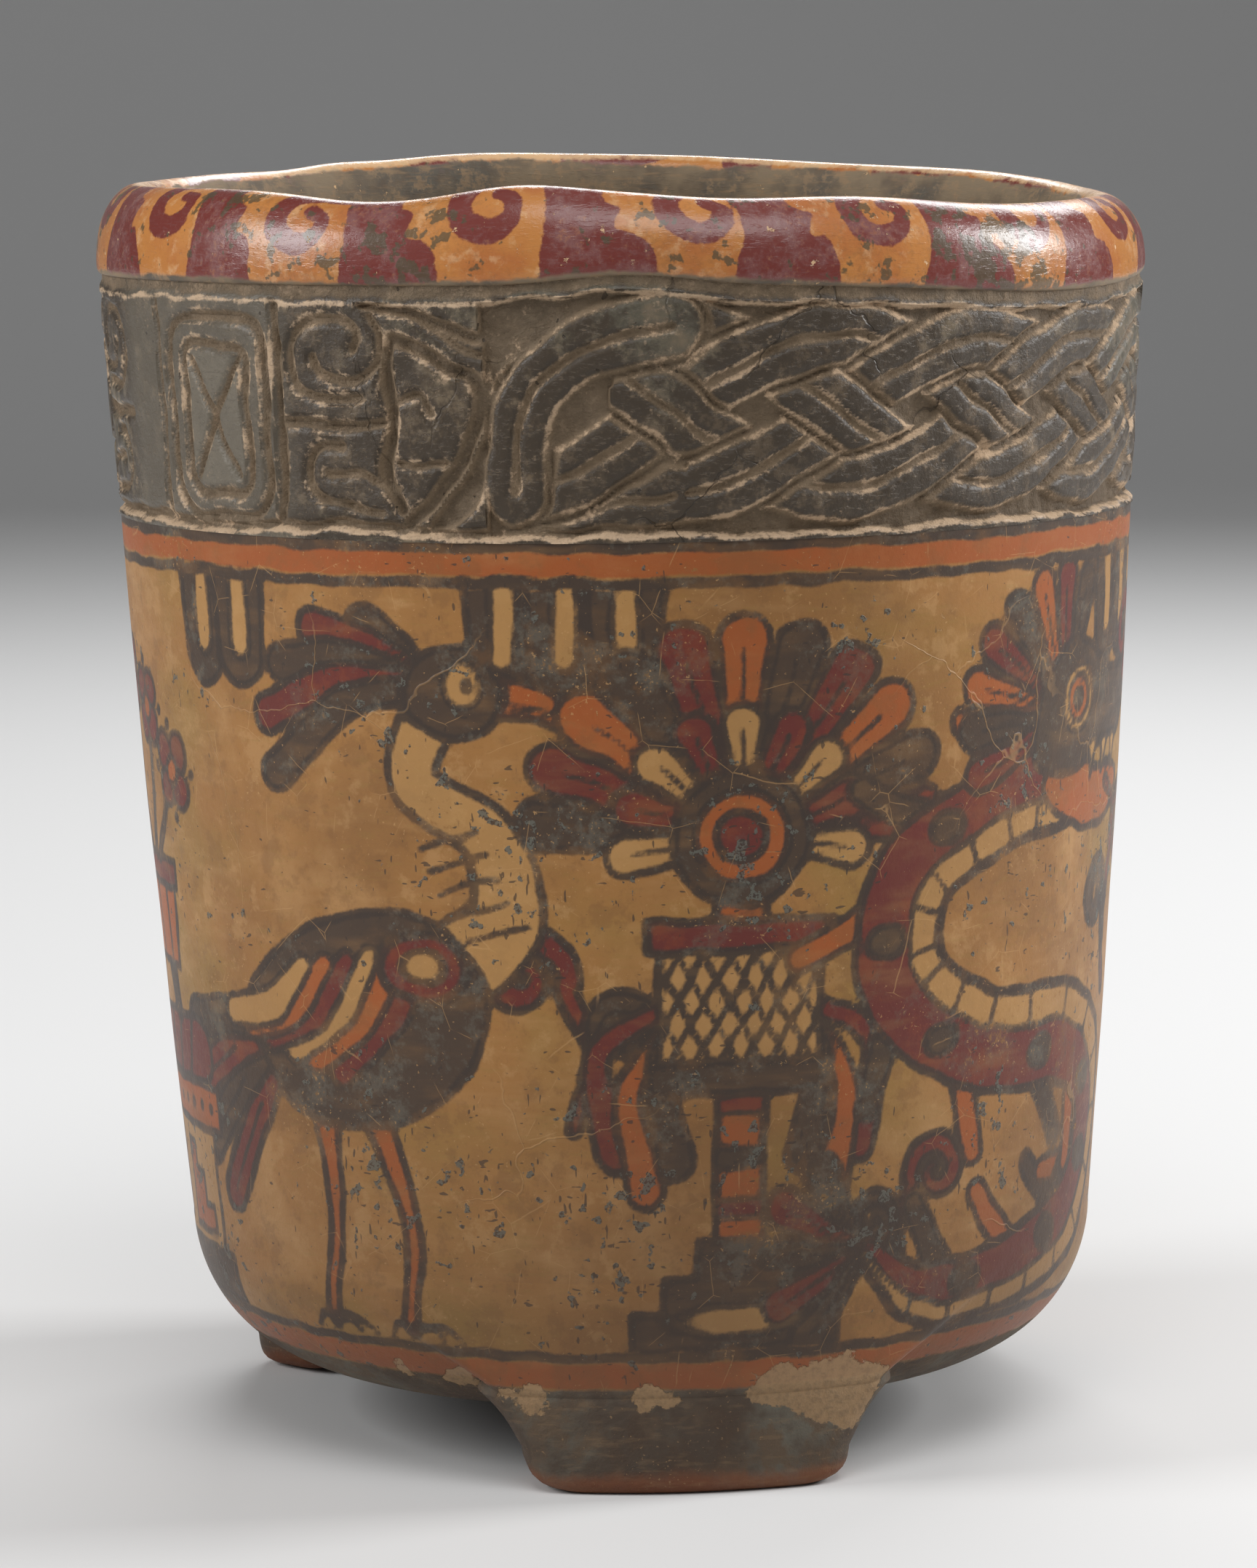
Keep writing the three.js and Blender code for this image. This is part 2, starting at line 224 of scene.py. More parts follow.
class CarvingSettings(bpy.types.PropertyGroup):
    """Sizes and colours of the carved band."""

    slip: colour_property("Slip", "Dark burnished slip left standing", (60, 49, 36))
    cool_slip: colour_property("Cool slip", "Slip fired greyer", (90, 86, 72))
    cut: colour_property("Cut", "Clay in the cuts", (132, 112, 88))
    # Pale colour of the rubbed edges, also laid as painted highlight along the cuts and ledges
    edge: colour_property("Edge", "Rubbed edges of the cuts", (196, 168, 138))
    # Slate grey laid as painted reflection, where a side lamp's sheen falls on the band
    slate_sheen: colour_property("Slate", "Slip fired to slate grey", (111, 103, 89))
    depth: size_property("Depth", "Depth of the deepest cuts", 1.35, 0.2, 2)
    strand_spacing: size_property("Strand spacing", "Distance between strands", 22.5, 12, 40)
    strand_half_width: size_property("Half width", "Half the width of a strand", 4.5, 2, 8)


class RimSettings(bpy.types.PropertyGroup):
    """Pattern and colours of the rolled rim."""

    repeats: IntProperty(
        name="Repeats", description="Blocks and hooks round the rim", default=17, min=6, max=30
    )
    ground: colour_property("Ground", "Orange slip", (188, 124, 62))
    ground_deep: colour_property("Ground, deep", "Orange slip where it is thick", (164, 88, 44))
    maroon: colour_property("Maroon", "Painted blocks and hooks", (106, 38, 36))
    bloom: colour_property("Bloom", "Purple-grey film over the maroon", (128, 92, 92))
    stain: colour_property("Stain", "Green-black spots", (74, 68, 48))
    worn: colour_property("Worn", "Crest rubbed to pale clay", (222, 184, 140))


class StageSettings(bpy.types.PropertyGroup):
    """Floor, lamps and camera."""

    floor: colour_property("Floor", "Plain pale floor", (214, 214, 214))
    key_power: FloatProperty(
        name="Key power", description="Power of the main lamp", default=8, min=0, unit="POWER"
    )
    camera_distance: FloatProperty(
        name="Camera distance", description="Camera to the vessel's axis",
        default=0.8213, min=0.2, unit="LENGTH",
    )
    camera_height: FloatProperty(
        name="Camera height", description="Camera above the floor", default=0.1867, min=0, unit="LENGTH"
    )
    camera_azimuth: angle_property("Camera azimuth", "Turn from the front", -4.5)
    camera_pitch: angle_property("Camera pitch", "Tilt below the horizon", 6.99)
    camera_roll: angle_property("Camera roll", "Turn about the line of sight", -0.69)
    lens: FloatProperty(name="Lens", description="Focal length in millimetres", default=137.55, min=20)


class VesselSettings(bpy.types.PropertyGroup):
    """Everything that the panel shows."""

    slip: PointerProperty(type=SlipSettings)
    carving: PointerProperty(type=CarvingSettings)
    rim: PointerProperty(type=RimSettings)
    stage: PointerProperty(type=StageSettings)


# Forms of the turned faces


def heel_radius(height):
    """Outer radius of the rounded heel at a height."""
    drop = np.clip((HEEL_TOP - height) / (HEEL_TOP - UNDERSIDE_HEIGHT), 0, 1)
    return UNDERSIDE_RADIUS + (HEEL_RADIUS - UNDERSIDE_RADIUS) * np.sqrt(1 - drop**2)


def wall_radius(height):
    """Outer radius of the painted wall, which swells a little at mid height."""
    share = (height - HEEL_TOP) / (BAND_BOTTOM - HEEL_TOP)
    return HEEL_RADIUS + (SHOULDER_RADIUS - HEEL_RADIUS) * share + WALL_SWELL * 4 * share * (1 - share)


def band_radius(height):
    """Outer radius of the carved course before it is cut."""
    return np.interp(height, [BAND_BOTTOM, BAND_TOP], [SHOULDER_RADIUS, NECK_RADIUS])


def ripple(azimuth, height, seed, turns, spacing, count=6):
    """Smooth noise of about -1 to 1 round the vessel: sines with whole turns, so that it closes on itself."""
    draw = np.random.default_rng(seed)
    total = np.zeros_like(azimuth)
    for _ in range(count):
        waves = draw.integers(1, turns + 1)
        climb = draw.uniform(-1, 1) * FULL_TURN / spacing
        total += np.sin(waves * azimuth + climb * height + draw.uniform(0, FULL_TURN))
    return total / count**0.5 / 1.6


def shorter_way(turn):
    """An angle brought to the range from minus half a turn to half a turn."""
    return np.arctan2(np.sin(turn), np.cos(turn))


def hand_wobble(azimuth, height):
    """How far a hand-built wall strays from a true turned one, in millimetres."""
    broad = ripple(azimuth, height, seed=3, turns=4, spacing=150)
    fine = ripple(azimuth, height, seed=8, turns=17, spacing=26)
    shift = HEEL_SHIFT * np.sin(azimuth) * np.clip(1 - height / SHIFT_FADES, -0.4, 1)
    return WOBBLE_BROAD * broad + WOBBLE_FINE * fine + WOBBLE_MEAN + shift


def smooth_share(share):
    """A smooth step from 0 to 1."""
    share = np.clip(share, 0, 1)
    return share**2 * (3 - 2 * share)


def wave(azimuth, waves):
    """Sum of smooth rises round the vessel, in millimetres."""
    total = np.zeros_like(azimuth)
    for at, spread, rise in waves:
        apart = shorter_way(azimuth - math.radians(at)) / math.radians(spread)
        total += rise * np.exp(-(apart**2))
    return total


def foot_half_width(height):
    """Half the foot's width at a height: rounded sole, nearly straight sides and a flare under the heel."""
    waist = FOOT_WAIST / 2
    t = np.sqrt(np.clip(height / WAIST_HEIGHT, 0, 1))
    low = SOLE_WIDTH / 2 * (1 - t) ** 2 + waist * (2 * t - t * t)
    flare_start, flare_end = FLARE_HEIGHT - FLARE_RISE, FLARE_HEIGHT + FLARE_RISE
    side = FOOT_SPREAD * np.clip((height - WAIST_HEIGHT) / (flare_start - WAIST_HEIGHT), 0, 1)
    u = np.clip((height - flare_start) / (flare_end - flare_start), 0, 1)
    flare = 2 * FOOT_SPREAD * u * (1 - u) + (FOOT_FLARE / 2 - waist - FOOT_SPREAD) * u * u
    return low + side + flare + FOOT_RUNOUT * np.maximum(height - flare_end, 0)


def foot_face(height):
    """Radius of the foot's outer face, which leans out a little."""
    return SOLE_RADIUS + FOOT_LEAN * (height - SOLE_ROUNDING)


def foot_turn(node):
    """Azimuth of a foot, from the corners of its CAD solid."""
    corners = [vert.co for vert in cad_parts[node].data.vertices]
    middle = sum(corners, Vector())
    return math.atan2(middle.x, -middle.y)


def foot_swell(azimuth, height):
    """How far the heel stands out over the feet, so that they run into it without a step."""
    heel, face = heel_radius(height), foot_face(height)
    swell = 0.5 * (face - heel + np.sqrt((face - heel) ** 2 + BLEND**2))
    swell *= np.clip((HEEL_TOP - height) / SWELL_FADES, 0, 1)
    swell *= np.clip((height - FOOT_SHOWN) / SWELL_STARTS + 1, 0, 1)
    total = np.zeros_like(azimuth)
    for node in FEET:
        arc = np.abs(shorter_way(azimuth - foot_turn(node))) * face
        from_end = np.clip((foot_half_width(height) - arc) / CORNER_ROUNDING, 0, 1)
        total += swell * np.sqrt(1 - (1 - from_end) ** 2)
    return total


def arc_points(centre, radii, start, end, steps):
    """Points of an elliptical arc as (radius, height), with angles in degrees from outwards to up."""
    angles = np.radians(np.linspace(start, end, steps + 1))
    return [(centre[0] + radii[0] * math.cos(a), centre[1] + radii[1] * math.sin(a)) for a in angles]


def close_end(made, edges):
    """Closes the end of a part turn between its outer and inner columns of edges."""
    radii = [math.hypot(*vert.co.xy) for edge in edges for vert in edge.verts]
    middle = (min(radii) + max(radii)) / 2
    sides = [[math.hypot(*vert.co.xy) > middle for vert in edge.verts] for edge in edges]
    columns = [edge for edge, (first, second) in zip(edges, sides) if first == second]
    bmesh.ops.bridge_loops(made, edges=columns)


class Turned:
    """A profile spun round the axis, with each vertex's azimuth, place on the profile and length along it."""

    def __init__(self, name, profile, turn_steps, closed=True, sweep=FULL_TURN):
        self.profile = np.array(profile)
        made = bmesh.new()
        s, c = math.sin(-sweep / 2), math.cos(-sweep / 2)
        ring = [made.verts.new((r * s * MM, -r * c * MM, z * MM)) for r, z in profile]
        following = ring[1:] + ring[:1] if closed else ring[1:]
        edges = [made.edges.new(pair) for pair in zip(ring, following)]
        doublings = DOUBLINGS if sweep == FULL_TURN else 0
        sector = sweep / 2**doublings
        spun = bmesh.ops.spin(
            made, geom=ring + edges, cent=(0, 0, 0), axis=(0, 0, 1), angle=sector,
            steps=turn_steps // 2**doublings,
        )
        if not doublings:
            last = [part for part in spun["geom_last"] if isinstance(part, bmesh.types.BMEdge)]
            for end in (edges, last):
                close_end(made, end)
        for _ in range(doublings):
            copied = bmesh.ops.duplicate(made, geom=made.verts[:] + made.edges[:] + made.faces[:])
            verts = [part for part in copied["geom"] if isinstance(part, bmesh.types.BMVert)]
            bmesh.ops.rotate(made, verts=verts, cent=(0, 0, 0), matrix=Matrix.Rotation(sector, 3, "Z"))
            sector *= 2
        bmesh.ops.remove_doubles(made, verts=made.verts, dist=WELD * MM)
        bmesh.ops.recalc_face_normals(made, faces=made.faces)
        self.mesh = bpy.data.meshes.new(name)
        made.to_mesh(self.mesh)
        made.free()
        self.object = placed(name, self.mesh)
        place = self.places()
        self.azimuth = np.arctan2(place[:, 0], -place[:, 1])
        self.radius, self.height = np.hypot(place[:, 0], place[:, 1]), place[:, 2]
        self.row = self.rows()
        steps = np.hypot(*np.diff(self.profile, axis=0).T)
        self.along = np.concatenate([[0], np.cumsum(steps)])[self.row]

    def places(self):
        """Places of the vertices in millimetres, one row each."""
        flat = np.empty(len(self.mesh.vertices) * 3)
        self.mesh.vertices.foreach_get("co", flat)
        return flat.reshape(-1, 3) / MM

    def rows(self):
        """Index of the profile point that each vertex was spun from."""
        row = np.zeros(len(self.radius), int)
        nearest = np.full(len(self.radius), np.inf)
        for index, (radius, height) in enumerate(self.profile):
            apart = np.abs(self.radius - radius) + np.abs(self.height - height)
            closer = apart < nearest - 1e-4
            row[closer] = index
            nearest[closer] = apart[closer]
        return row

    def reshape(self, radius, height):
        """Moves the vertices to other radii and heights, each on its own azimuth."""
        place = np.stack([radius * np.sin(self.azimuth), -radius * np.cos(self.azimuth), height], axis=1)
        self.mesh.vertices.foreach_set("co", (place * MM).ravel())
        self.mesh.update()

    def store(self, name, values):
        """Keeps a number for each vertex, for the finish to read."""
        layer = self.mesh.attributes.new(name, "FLOAT", "POINT")
        layer.data.foreach_set("value", np.ascontiguousarray(values, dtype=np.float32))

    def settle(self, node, material):
        """Smooth shading, the finish, and the CAD node that this piece stands for."""
        self.mesh.materials.append(material)
        self.mesh.shade_smooth()
        self.mesh.set_sharp_from_angle(angle=math.radians(SHARP_EDGE))
        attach(self.object, BODY)
        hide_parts(node)


# Brushwork and cutting, as signed distances on a flat face


def smooth_run(points, closed=False, steps=7):
    """A Catmull-Rom curve through a few given points."""
    points = np.array(points, float)
    if len(points) < 3:
        return points
    if closed:
        before, after, further = (np.roll(points, shift, axis=0) for shift in (1, -1, -2))
    else:
        start, end = 2 * points[0] - points[1], 2 * points[-1] - points[-2]
        padded = np.vstack([start, points, end])
        before, points, after, further = padded[:-3], padded[1:-2], padded[2:-1], padded[3:]
    run = []
    for a, b, c, d in zip(before, points, after, further):
        for t in np.arange(steps) / steps:
            bend, twist = 2 * a - 5 * b + 4 * c - d, 3 * b - a - 3 * c + d
            run.append(0.5 * (2 * b + (c - a) * t + bend * t**2 + twist * t**3))
    run.append(run[0] if closed else after[-1])
    return np.array(run)


def polar(centre, radius, angle):
    """The point at an angle and a distance from another."""
    return centre[0] + radius * math.cos(angle), centre[1] + radius * math.sin(angle)


def spiral(centre, outer, inner, start, sweep, steps=14):
    """Points of a volute from its outer end to its eye, with angles in degrees."""
    shares = np.linspace(0, 1, steps)
    radii = outer + (inner - outer) * shares
    angles = np.radians(start + sweep * shares)
    return [polar(centre, r, a) for r, a in zip(radii, angles)]


class Face:
    """The flat face of a turned piece, with a field of signed distances for each layer, negative inside."""

    def __init__(self, turned, mean_radius, layers, chosen, wander=0.3, upward=None):
        self.turned, self.chosen = turned, chosen
        self.mean_radius = mean_radius
        self.azimuth = turned.azimuth[chosen]
        self.height = (turned.height if upward is None else upward)[chosen]
        drift = [ripple(self.azimuth, self.height, seed=seed, turns=60, spacing=9) for seed in (21, 22)]
        self.arc = self.azimuth * mean_radius + wander * drift[0]
        self.height = self.height + wander * drift[1]
        self.fields = {name: np.full(len(self.arc), FAR) for name in layers}

    def motif(self, arc, height=0.0, size=1.0, flip=False):
        """The frame of a figure at an arc and a height on this face."""
        return Motif(self, arc, height, size, flip)

    def stripe(self, layer, low, high):
        """A painted line or band right round the vessel."""
        distance = np.maximum(low - self.height, self.height - high)
        self.fields[layer] = np.minimum(self.fields[layer], distance)

    def save(self):
        """Stores every layer on the whole piece."""
        for name, field in self.fields.items():
            values = np.full(len(self.turned.azimuth), FAR)
            values[self.chosen] = field
            self.turned.store(name, np.clip(values, -FAR, FAR))


class Motif:
    """A figure's own flat frame on a face: x to the right, y up, before its size is applied."""

    def __init__(self, face, arc, height, size, flip):
        self.face, self.size = face, size
        round_trip = FULL_TURN * face.mean_radius
        x = ((face.arc - arc + round_trip / 2) % round_trip - round_trip / 2) / size
        self.x, self.y = (-x if flip else x), (face.height - height) / size

    def near(self, points, reach):
        """Indices of the vertices in a box round some points."""
        low, high = np.min(points, axis=0) - reach, np.max(points, axis=0) + reach
        inside = (self.x > low[0]) & (self.x < high[0]) & (self.y > low[1]) & (self.y < high[1])
        return np.nonzero(inside)[0]

    def stroke(self, points, widths, smooth=True):
        """A brush stroke: one width, or widths spread evenly from its start to its end."""
        run = smooth_run(points) if smooth else np.array(points, float)
        widths = np.atleast_1d(np.array(widths, float))
        width = np.interp(np.linspace(0, 1, len(run)), np.linspace(0, 1, len(widths)), widths)
        index = self.near(run, width.max() / 2 + REACH)
        x, y = self.x[index], self.y[index]
        best = np.full(len(index), FAR)
        for (ax, ay), (bx, by), wa, wb in zip(run, run[1:], width, width[1:]):
            dx, dy = bx - ax, by - ay
            share = np.clip(((x - ax) * dx + (y - ay) * dy) / max(dx * dx + dy * dy, 1e-9), 0, 1)
            apart = np.hypot(x - ax - share * dx, y - ay - share * dy)
            best = np.minimum(best, apart - (wa + (wb - wa) * share) / 2)
        return index, best * self.size

    def region(self, points, smooth=True):
        """The inside of a closed outline."""
        run = smooth_run(points, closed=True) if smooth else np.array(list(points) + [points[0]], float)
        index = self.near(run, REACH)
        x, y = self.x[index], self.y[index]
        best = np.full(len(index), FAR)
        inside = np.zeros(len(index), bool)
        for (ax, ay), (bx, by) in zip(run, run[1:]):
            dx, dy = bx - ax, by - ay
            share = np.clip(((x - ax) * dx + (y - ay) * dy) / max(dx * dx + dy * dy, 1e-9), 0, 1)
            best = np.minimum(best, np.hypot(x - ax - share * dx, y - ay - share * dy))
            crosses = (ay > y) != (by > y)
            inside ^= crosses & (x < ax + dx * (y - ay) / (dy if dy else 1e-9))
        return index, np.where(inside, -best, best) * self.size

    def oval(self, centre, radii):
        """A disc of one radius, or an oval of two."""
        rx, ry = radii if hasattr(radii, "__len__") else (radii, radii)
        index = self.near(np.array([centre]), max(rx, ry) + REACH)
        x, y = (self.x[index] - centre[0]) / rx, (self.y[index] - centre[1]) / ry
        return index, (np.hypot(x, y) - 1) * min(rx, ry) * self.size

    def add(self, patch, layer):
        """Adds a patch to one layer and leaves the others as they are."""
        index, distance = patch
        field = self.face.fields[layer]
        field[index] = np.minimum(field[index], distance)

    def lay(self, patch, layer, outline):
        """Lays a patch over what is there: clears it, fills it with a paint and outlines it."""
        index, distance = patch
        for field in self.face.fields.values():
            field[index] = np.maximum(field[index], -distance)
        self.add(patch, layer)
        self.add((index, np.abs(distance) - outline / 2), "line")

    def within(self, patch, host, margin=0.0):
        """The part of a patch that lies inside another."""
        index, distance = patch
        limit = np.full(len(self.x), FAR)
        limit[host[0]] = host[1] + margin
        return index, np.maximum(distance, limit[index])


# Painted figures. Each stands on the ground line at y = 0 and may reach the ceiling at y = 99.


def heron(m, width):
    """A long-legged water bird with a plumed crest and a flower in its beak."""
    for hip, knee, foot in (((-2, 34), (4, 17), (3, 2)), ((-10, 34), (-9, 17), (-12, 2))):
        m.lay(m.stroke([hip, knee, foot], [4.4, 2.4, 2.2]), "orange", width)
        for toe in (8, 5, -4):
            m.add(m.stroke([foot, (foot[0] + toe * 0.6, 2.4), (foot[0] + toe, 0.6)], [1.8, 1.4, 0.8]), "line")
    for index, tip in enumerate([(-33, 17), (-39, 23), (-42, 31), (-41, 40)]):
        bend = (tip[0] * 0.62 - 3, tip[1] * 0.5 + 22)
        m.lay(m.stroke([(-14, 42), bend, tip], [3, 5.5, 6]), ("maroon", "umber")[index % 2], width)
        m.add(m.stroke([bend, tip], [0.9, 0.7]), "line")
    m.lay(m.stroke([(8, 49), (20, 58), (18, 70), (8, 77), (11, 87)], [13, 10, 7.5, 6.6, 7]), "pale", width)
    for along in (0.42, 0.52, 0.62, 0.72, 0.82):
        x = 20 - 12 * abs(along - 0.42) ** 0.7
        m.add(m.stroke([(x - 5, 56 + 30 * (along - 0.42)), (x + 3, 58 + 32 * (along - 0.42))], 0.9), "line")
    body = [(-24, 43), (-15, 31), (2, 30), (14, 38), (17, 50), (8, 59), (-8, 57), (-19, 51)]
    m.lay(m.region(body), "umber", width)
    for index in range(6):
        start, end = (8 - 4 * index, 54 - 0.6 * index), (-6 - 4.4 * index, 37 + 1.2 * index)
        paint = ("maroon", "orange", "pale")[index % 3]
        m.lay(m.stroke([start, ((start[0] + end[0]) / 2 + 1.5, 45), end], [3, 5, 4.4]), paint, width * 0.85)
    m.lay(m.oval((8, 52), (6.5, 4.6)), "maroon", width)
    m.lay(m.oval((8, 52), (3.2, 2.2)), "pale", width * 0.8)
    for index, tip in enumerate([(2, 98), (-6, 97), (-12, 92), (-15, 85), (-14, 77)]):
        bend = (tip[0] * 0.5 + 5, tip[1] * 0.5 + 46 + index * 0.6)
        m.lay(m.stroke([(11, 90), bend, tip], [2.2, 4.4, 5]), ("umber", "maroon")[index % 2], width * 0.9)
    m.lay(m.stroke([(18, 89), (27, 87), (36, 80)], [6, 4, 1.6]), "orange", width)
    m.add(m.stroke([(19, 88), (28, 86), (35, 80.5)], [0.8, 0.6]), "line")
    m.lay(m.oval((14, 89), (7, 6)), "umber", width)
    m.lay(m.oval((15.5, 90), 2.8), "pale", width * 0.8)
    m.add(m.oval((16, 90), 1.1), "line")
    blossom(m, (37, 74), 5.2, width)


def blossom(m, centre, radius, width):
    """A flower of four round petals with dots between them."""
    for angle in range(0, 360, 90):
        a = math.radians(angle + 45)
        m.lay(m.oval(polar(centre, radius * 0.62, a), radius * 0.5), "maroon", width * 0.85)
        m.add(m.oval(polar(centre, radius * 1.15, a - 0.785), 0.9), "line")
    m.lay(m.oval(centre, radius * 0.36), "orange", width * 0.85)


def fan(m, centre, inner, outer, start, end, count, width, paints=("maroon", "umber", "orange")):
    """Plumes spread round a centre, with a quill line in each."""
    plume = 2 * outer * math.sin(math.radians(abs(end - start)) / count / 2) * 0.95
    widths = [plume * 0.45, plume * 0.9, plume]
    for index, angle in enumerate(np.linspace(math.radians(start), math.radians(end), count)):
        root, tip = polar(centre, inner, angle), polar(centre, outer, angle)
        m.lay(m.stroke([root, tip], widths), paints[index % len(paints)], width * 0.9)
        m.add(m.stroke([root, (tip[0] * 0.9 + root[0] * 0.1, tip[1] * 0.9 + root[1] * 0.1)], 0.7), "line")


def rosette(m, centre, radii, paints, width):
    """Discs on one another, the largest first."""
    for radius, paint in zip(radii, paints):
        m.lay(m.oval(centre, radius), paint, width)


def stepped(m, centre, base, top, low, high, steps, paint, width):
    """A stepped block, symmetrical about its middle."""
    right = []
    for step in range(steps):
        half = (base + (top - base) * step / (steps - 1)) / 2
        right += [(half, low + (high - low) * step / steps), (half, low + (high - low) * (step + 1) / steps)]
    outline = [(centre + x, y) for x, y in right] + [(centre - x, y) for x, y in reversed(right)]
    patch = m.region(outline, smooth=False)
    m.lay(patch, paint, width)
    return patch


def block(m, half, low, high, paint, width):
    """A rectangle, symmetrical about the figure's middle."""
    patch = m.region([(-half, low), (half, low), (half, high), (-half, high)], smooth=False)
    m.lay(patch, paint, width)
    return patch


def lattice(m, host, half, low, high, spacing, slant, width):
    """Two sets of slanting lines inside a patch, crossing like woven reeds."""
    rise = (high - low) * slant
    for x in np.arange(-half - rise, half + rise, spacing):
        for way in (rise, -rise):
            m.add(m.within(m.stroke([(x, low), (x + way, high)], width), host, margin=0.4), "line")


def standard(m, width):
    """A plumed standard on a stepped foot, with a woven panel and tassels."""
    foot = stepped(m, 0, 30, 12, 0, 15, 3, "umber", width)
    m.lay(m.within(m.oval((0, 4), (9, 2.2)), foot), "pale", width * 0.8)
    block(m, 3.4, 15, 66, "orange", width)
    for y in range(18, 66, 7):
        block(m, 3.4, y, y + 2.6, ("maroon", "umber")[y % 2], width * 0.7)
    for side in (-1, 1):
        for index, (x, y) in enumerate([(17, 27), (13, 22), (9, 26)]):
            cord = [(side * 6, 48), (side * (x + 2), y + 14), (side * x, y)]
            m.lay(m.stroke(cord, [2.2, 3.2, 5]), ("maroon", "orange", "umber")[index], width * 0.9)
    panel = block(m, 11, 38, 55, "pale", width)
    lattice(m, panel, 11, 38, 55, 3.4, 0.55, 1.0)
    block(m, 12.5, 54, 58, "maroon", width)
    block(m, 12.5, 35, 39, "umber", width)
    fan(m, (0, 69), 8, 26, 4, 176, 11, width)
    fan(m, (0, 69), 6, 15, -8, 188, 9, width, paints=("pale", "maroon"))
    rosette(m, (0, 69), (9, 6.2, 3.2), ("umber", "orange", "maroon"), width)


SERPENT_SPINE = [
    (-28, 12), (-18, 5), (2, 6), (20, 12), (26, 26), (14, 37), (-8, 39), (-23, 48), (-22, 63), (-6, 71),
    (10, 72),
]
SERPENT_GIRTH = [4, 8, 11, 13, 14, 14, 14, 14, 13, 12, 11]


def serpent(m, width):
    """A rearing serpent with a plumed back, belly bands and a curled snout."""
    run = smooth_run(SERPENT_SPINE)
    girth = np.interp(np.linspace(0, 1, len(run)), np.linspace(0, 1, len(SERPENT_GIRTH)), SERPENT_GIRTH)
    ahead = np.gradient(run, axis=0)
    ahead /= np.hypot(ahead[:, 0], ahead[:, 1])[:, None]
    across = np.stack([-ahead[:, 1], ahead[:, 0]], axis=1)

    def beside(index, share):
        """Points at a share of the girth from the spine, towards the back."""
        return run[index] + across[index] * girth[index, None] * share

    for index in range(8, len(run) - 6, 5):
        root = beside([index], 0.42)[0]
        tip = root + across[index] * 9 - ahead[index] * 6
        m.lay(m.stroke([root, tip], [4.6, 5, 3.4]), ("umber", "orange")[index % 2], width * 0.9)
    body = m.stroke(SERPENT_SPINE, SERPENT_GIRTH)
    m.lay(body, "maroon", width * 1.1)
    belly = m.stroke(beside(slice(None, None, 4), -0.3), [2, 4.4, 5, 5, 4.4])
    m.lay(m.within(belly, body, margin=0.5), "pale", width * 0.8)
    for index in range(6, len(run), 3):
        m.add(m.within(m.stroke([beside([index], -0.1)[0], beside([index], -0.48)[0]], 0.9), body), "line")
    for index in range(10, len(run) - 6, 7):
        m.lay(m.oval(beside([index], 0.16)[0], (2.8, 2.2)), "umber", width * 0.8)
    fan(m, (-29, 12), 2, 14, 120, 235, 5, width, paints=("umber", "maroon"))
    fan(m, (6, 82), 5, 19, 70, 200, 8, width, paints=("umber", "maroon", "orange"))
    m.lay(m.region([(2, 72), (12, 66), (24, 66), (31, 70), (28, 73), (18, 74), (8, 77)]), "orange", width)
    m.lay(m.stroke([(24, 71), (32, 67), (38, 70)], [1.8, 1.6, 0.8]), "maroon", width * 0.7)
    head = [(0, 76), (2, 88), (11, 92), (20, 88), (29, 87), (36, 92), (38, 84), (31, 78), (20, 77), (10, 74)]
    m.lay(m.region(head), "umber", width)
    m.lay(m.stroke(spiral((33, 91), 6.5, 1.5, -60, 400), [4.4, 3.4, 2.2]), "maroon", width * 0.85)
    for x in (17, 22, 27):
        tooth = [(x - 1.6, 77.5), (x + 1.6, 77.5), (x - 0.6, 72.5)]
        m.lay(m.region(tooth, smooth=False), "pale", width * 0.7)
    rosette(m, (11, 84), (4.6, 3, 1.2), ("pale", "orange", "line"), width * 0.8)


def bench(m, width):
    """A stepped bench with frets, a cushion, and a footed bowl of flowers on it."""
    block(m, 21, 0, 7, "umber", width)
    block(m, 18, 7, 24, "pale", width)
    for side in (-1, 1):
        fret = [(3, 9), (15, 9), (15, 13), (11, 13), (11, 17), (7, 17), (7, 21), (3, 21)]
        patch = m.region([(side * x, y) for x, y in fret], smooth=False)
        m.lay(patch, ("maroon", "orange")[side > 0], width * 0.9)
    block(m, 21, 24, 30, "orange", width)
    for x in range(-18, 19, 4):
        m.add(m.oval((x, 27), 0.9), "line")
    cushion = m.stroke([(-16, 35), (16, 35)], 9)
    m.lay(cushion, "maroon", width)
    for x in (-12, -6, 0, 6, 12):
        m.add(m.within(m.stroke([(x - 2, 30), (x + 2, 40)], 1.1), cushion), "line")
    for x in (-6, 6):
        m.lay(m.stroke([(x, 46), (x * 1.2, 40)], [4.2, 3.4]), "umber", width * 0.9)
    m.lay(m.region([(-12, 58), (12, 58), (11, 46), (-11, 46)], smooth=False), "orange", width)
    for x in (-7, 0, 7):
        m.add(m.stroke([(x, 56.5), (x, 47.5)], 1.1), "line")
    block(m, 13, 57, 61, "maroon", width)
    for x, y, bend in ((-15, 78, -4), (-5, 86, -2), (6, 82, 2), (16, 74, 5)):
        stem = [(x * 0.3, 61), (x * 0.7 + bend * 0.4, 70), (x, y)]
        m.lay(m.stroke(stem, [1.9, 1.7, 1.5]), "umber", width * 0.5)
        blossom(m, (x, y), 5.6, width)


def sprout(m, width):
    """A double volute with a tapering tail, as a fill between figures."""
    tail = [(0, 0), (3, 10), (-1, 20)]
    m.lay(m.stroke(tail + spiral((-7, 22), 6.5, 1.2, -5, 430), [2, 3.6, 4.4, 4, 3, 2]), "maroon", width)
    m.lay(m.stroke([(2, 7)] + spiral((8, 14), 5.5, 1.2, 200, -400), [2, 3.2, 3, 2]), "umber", width)


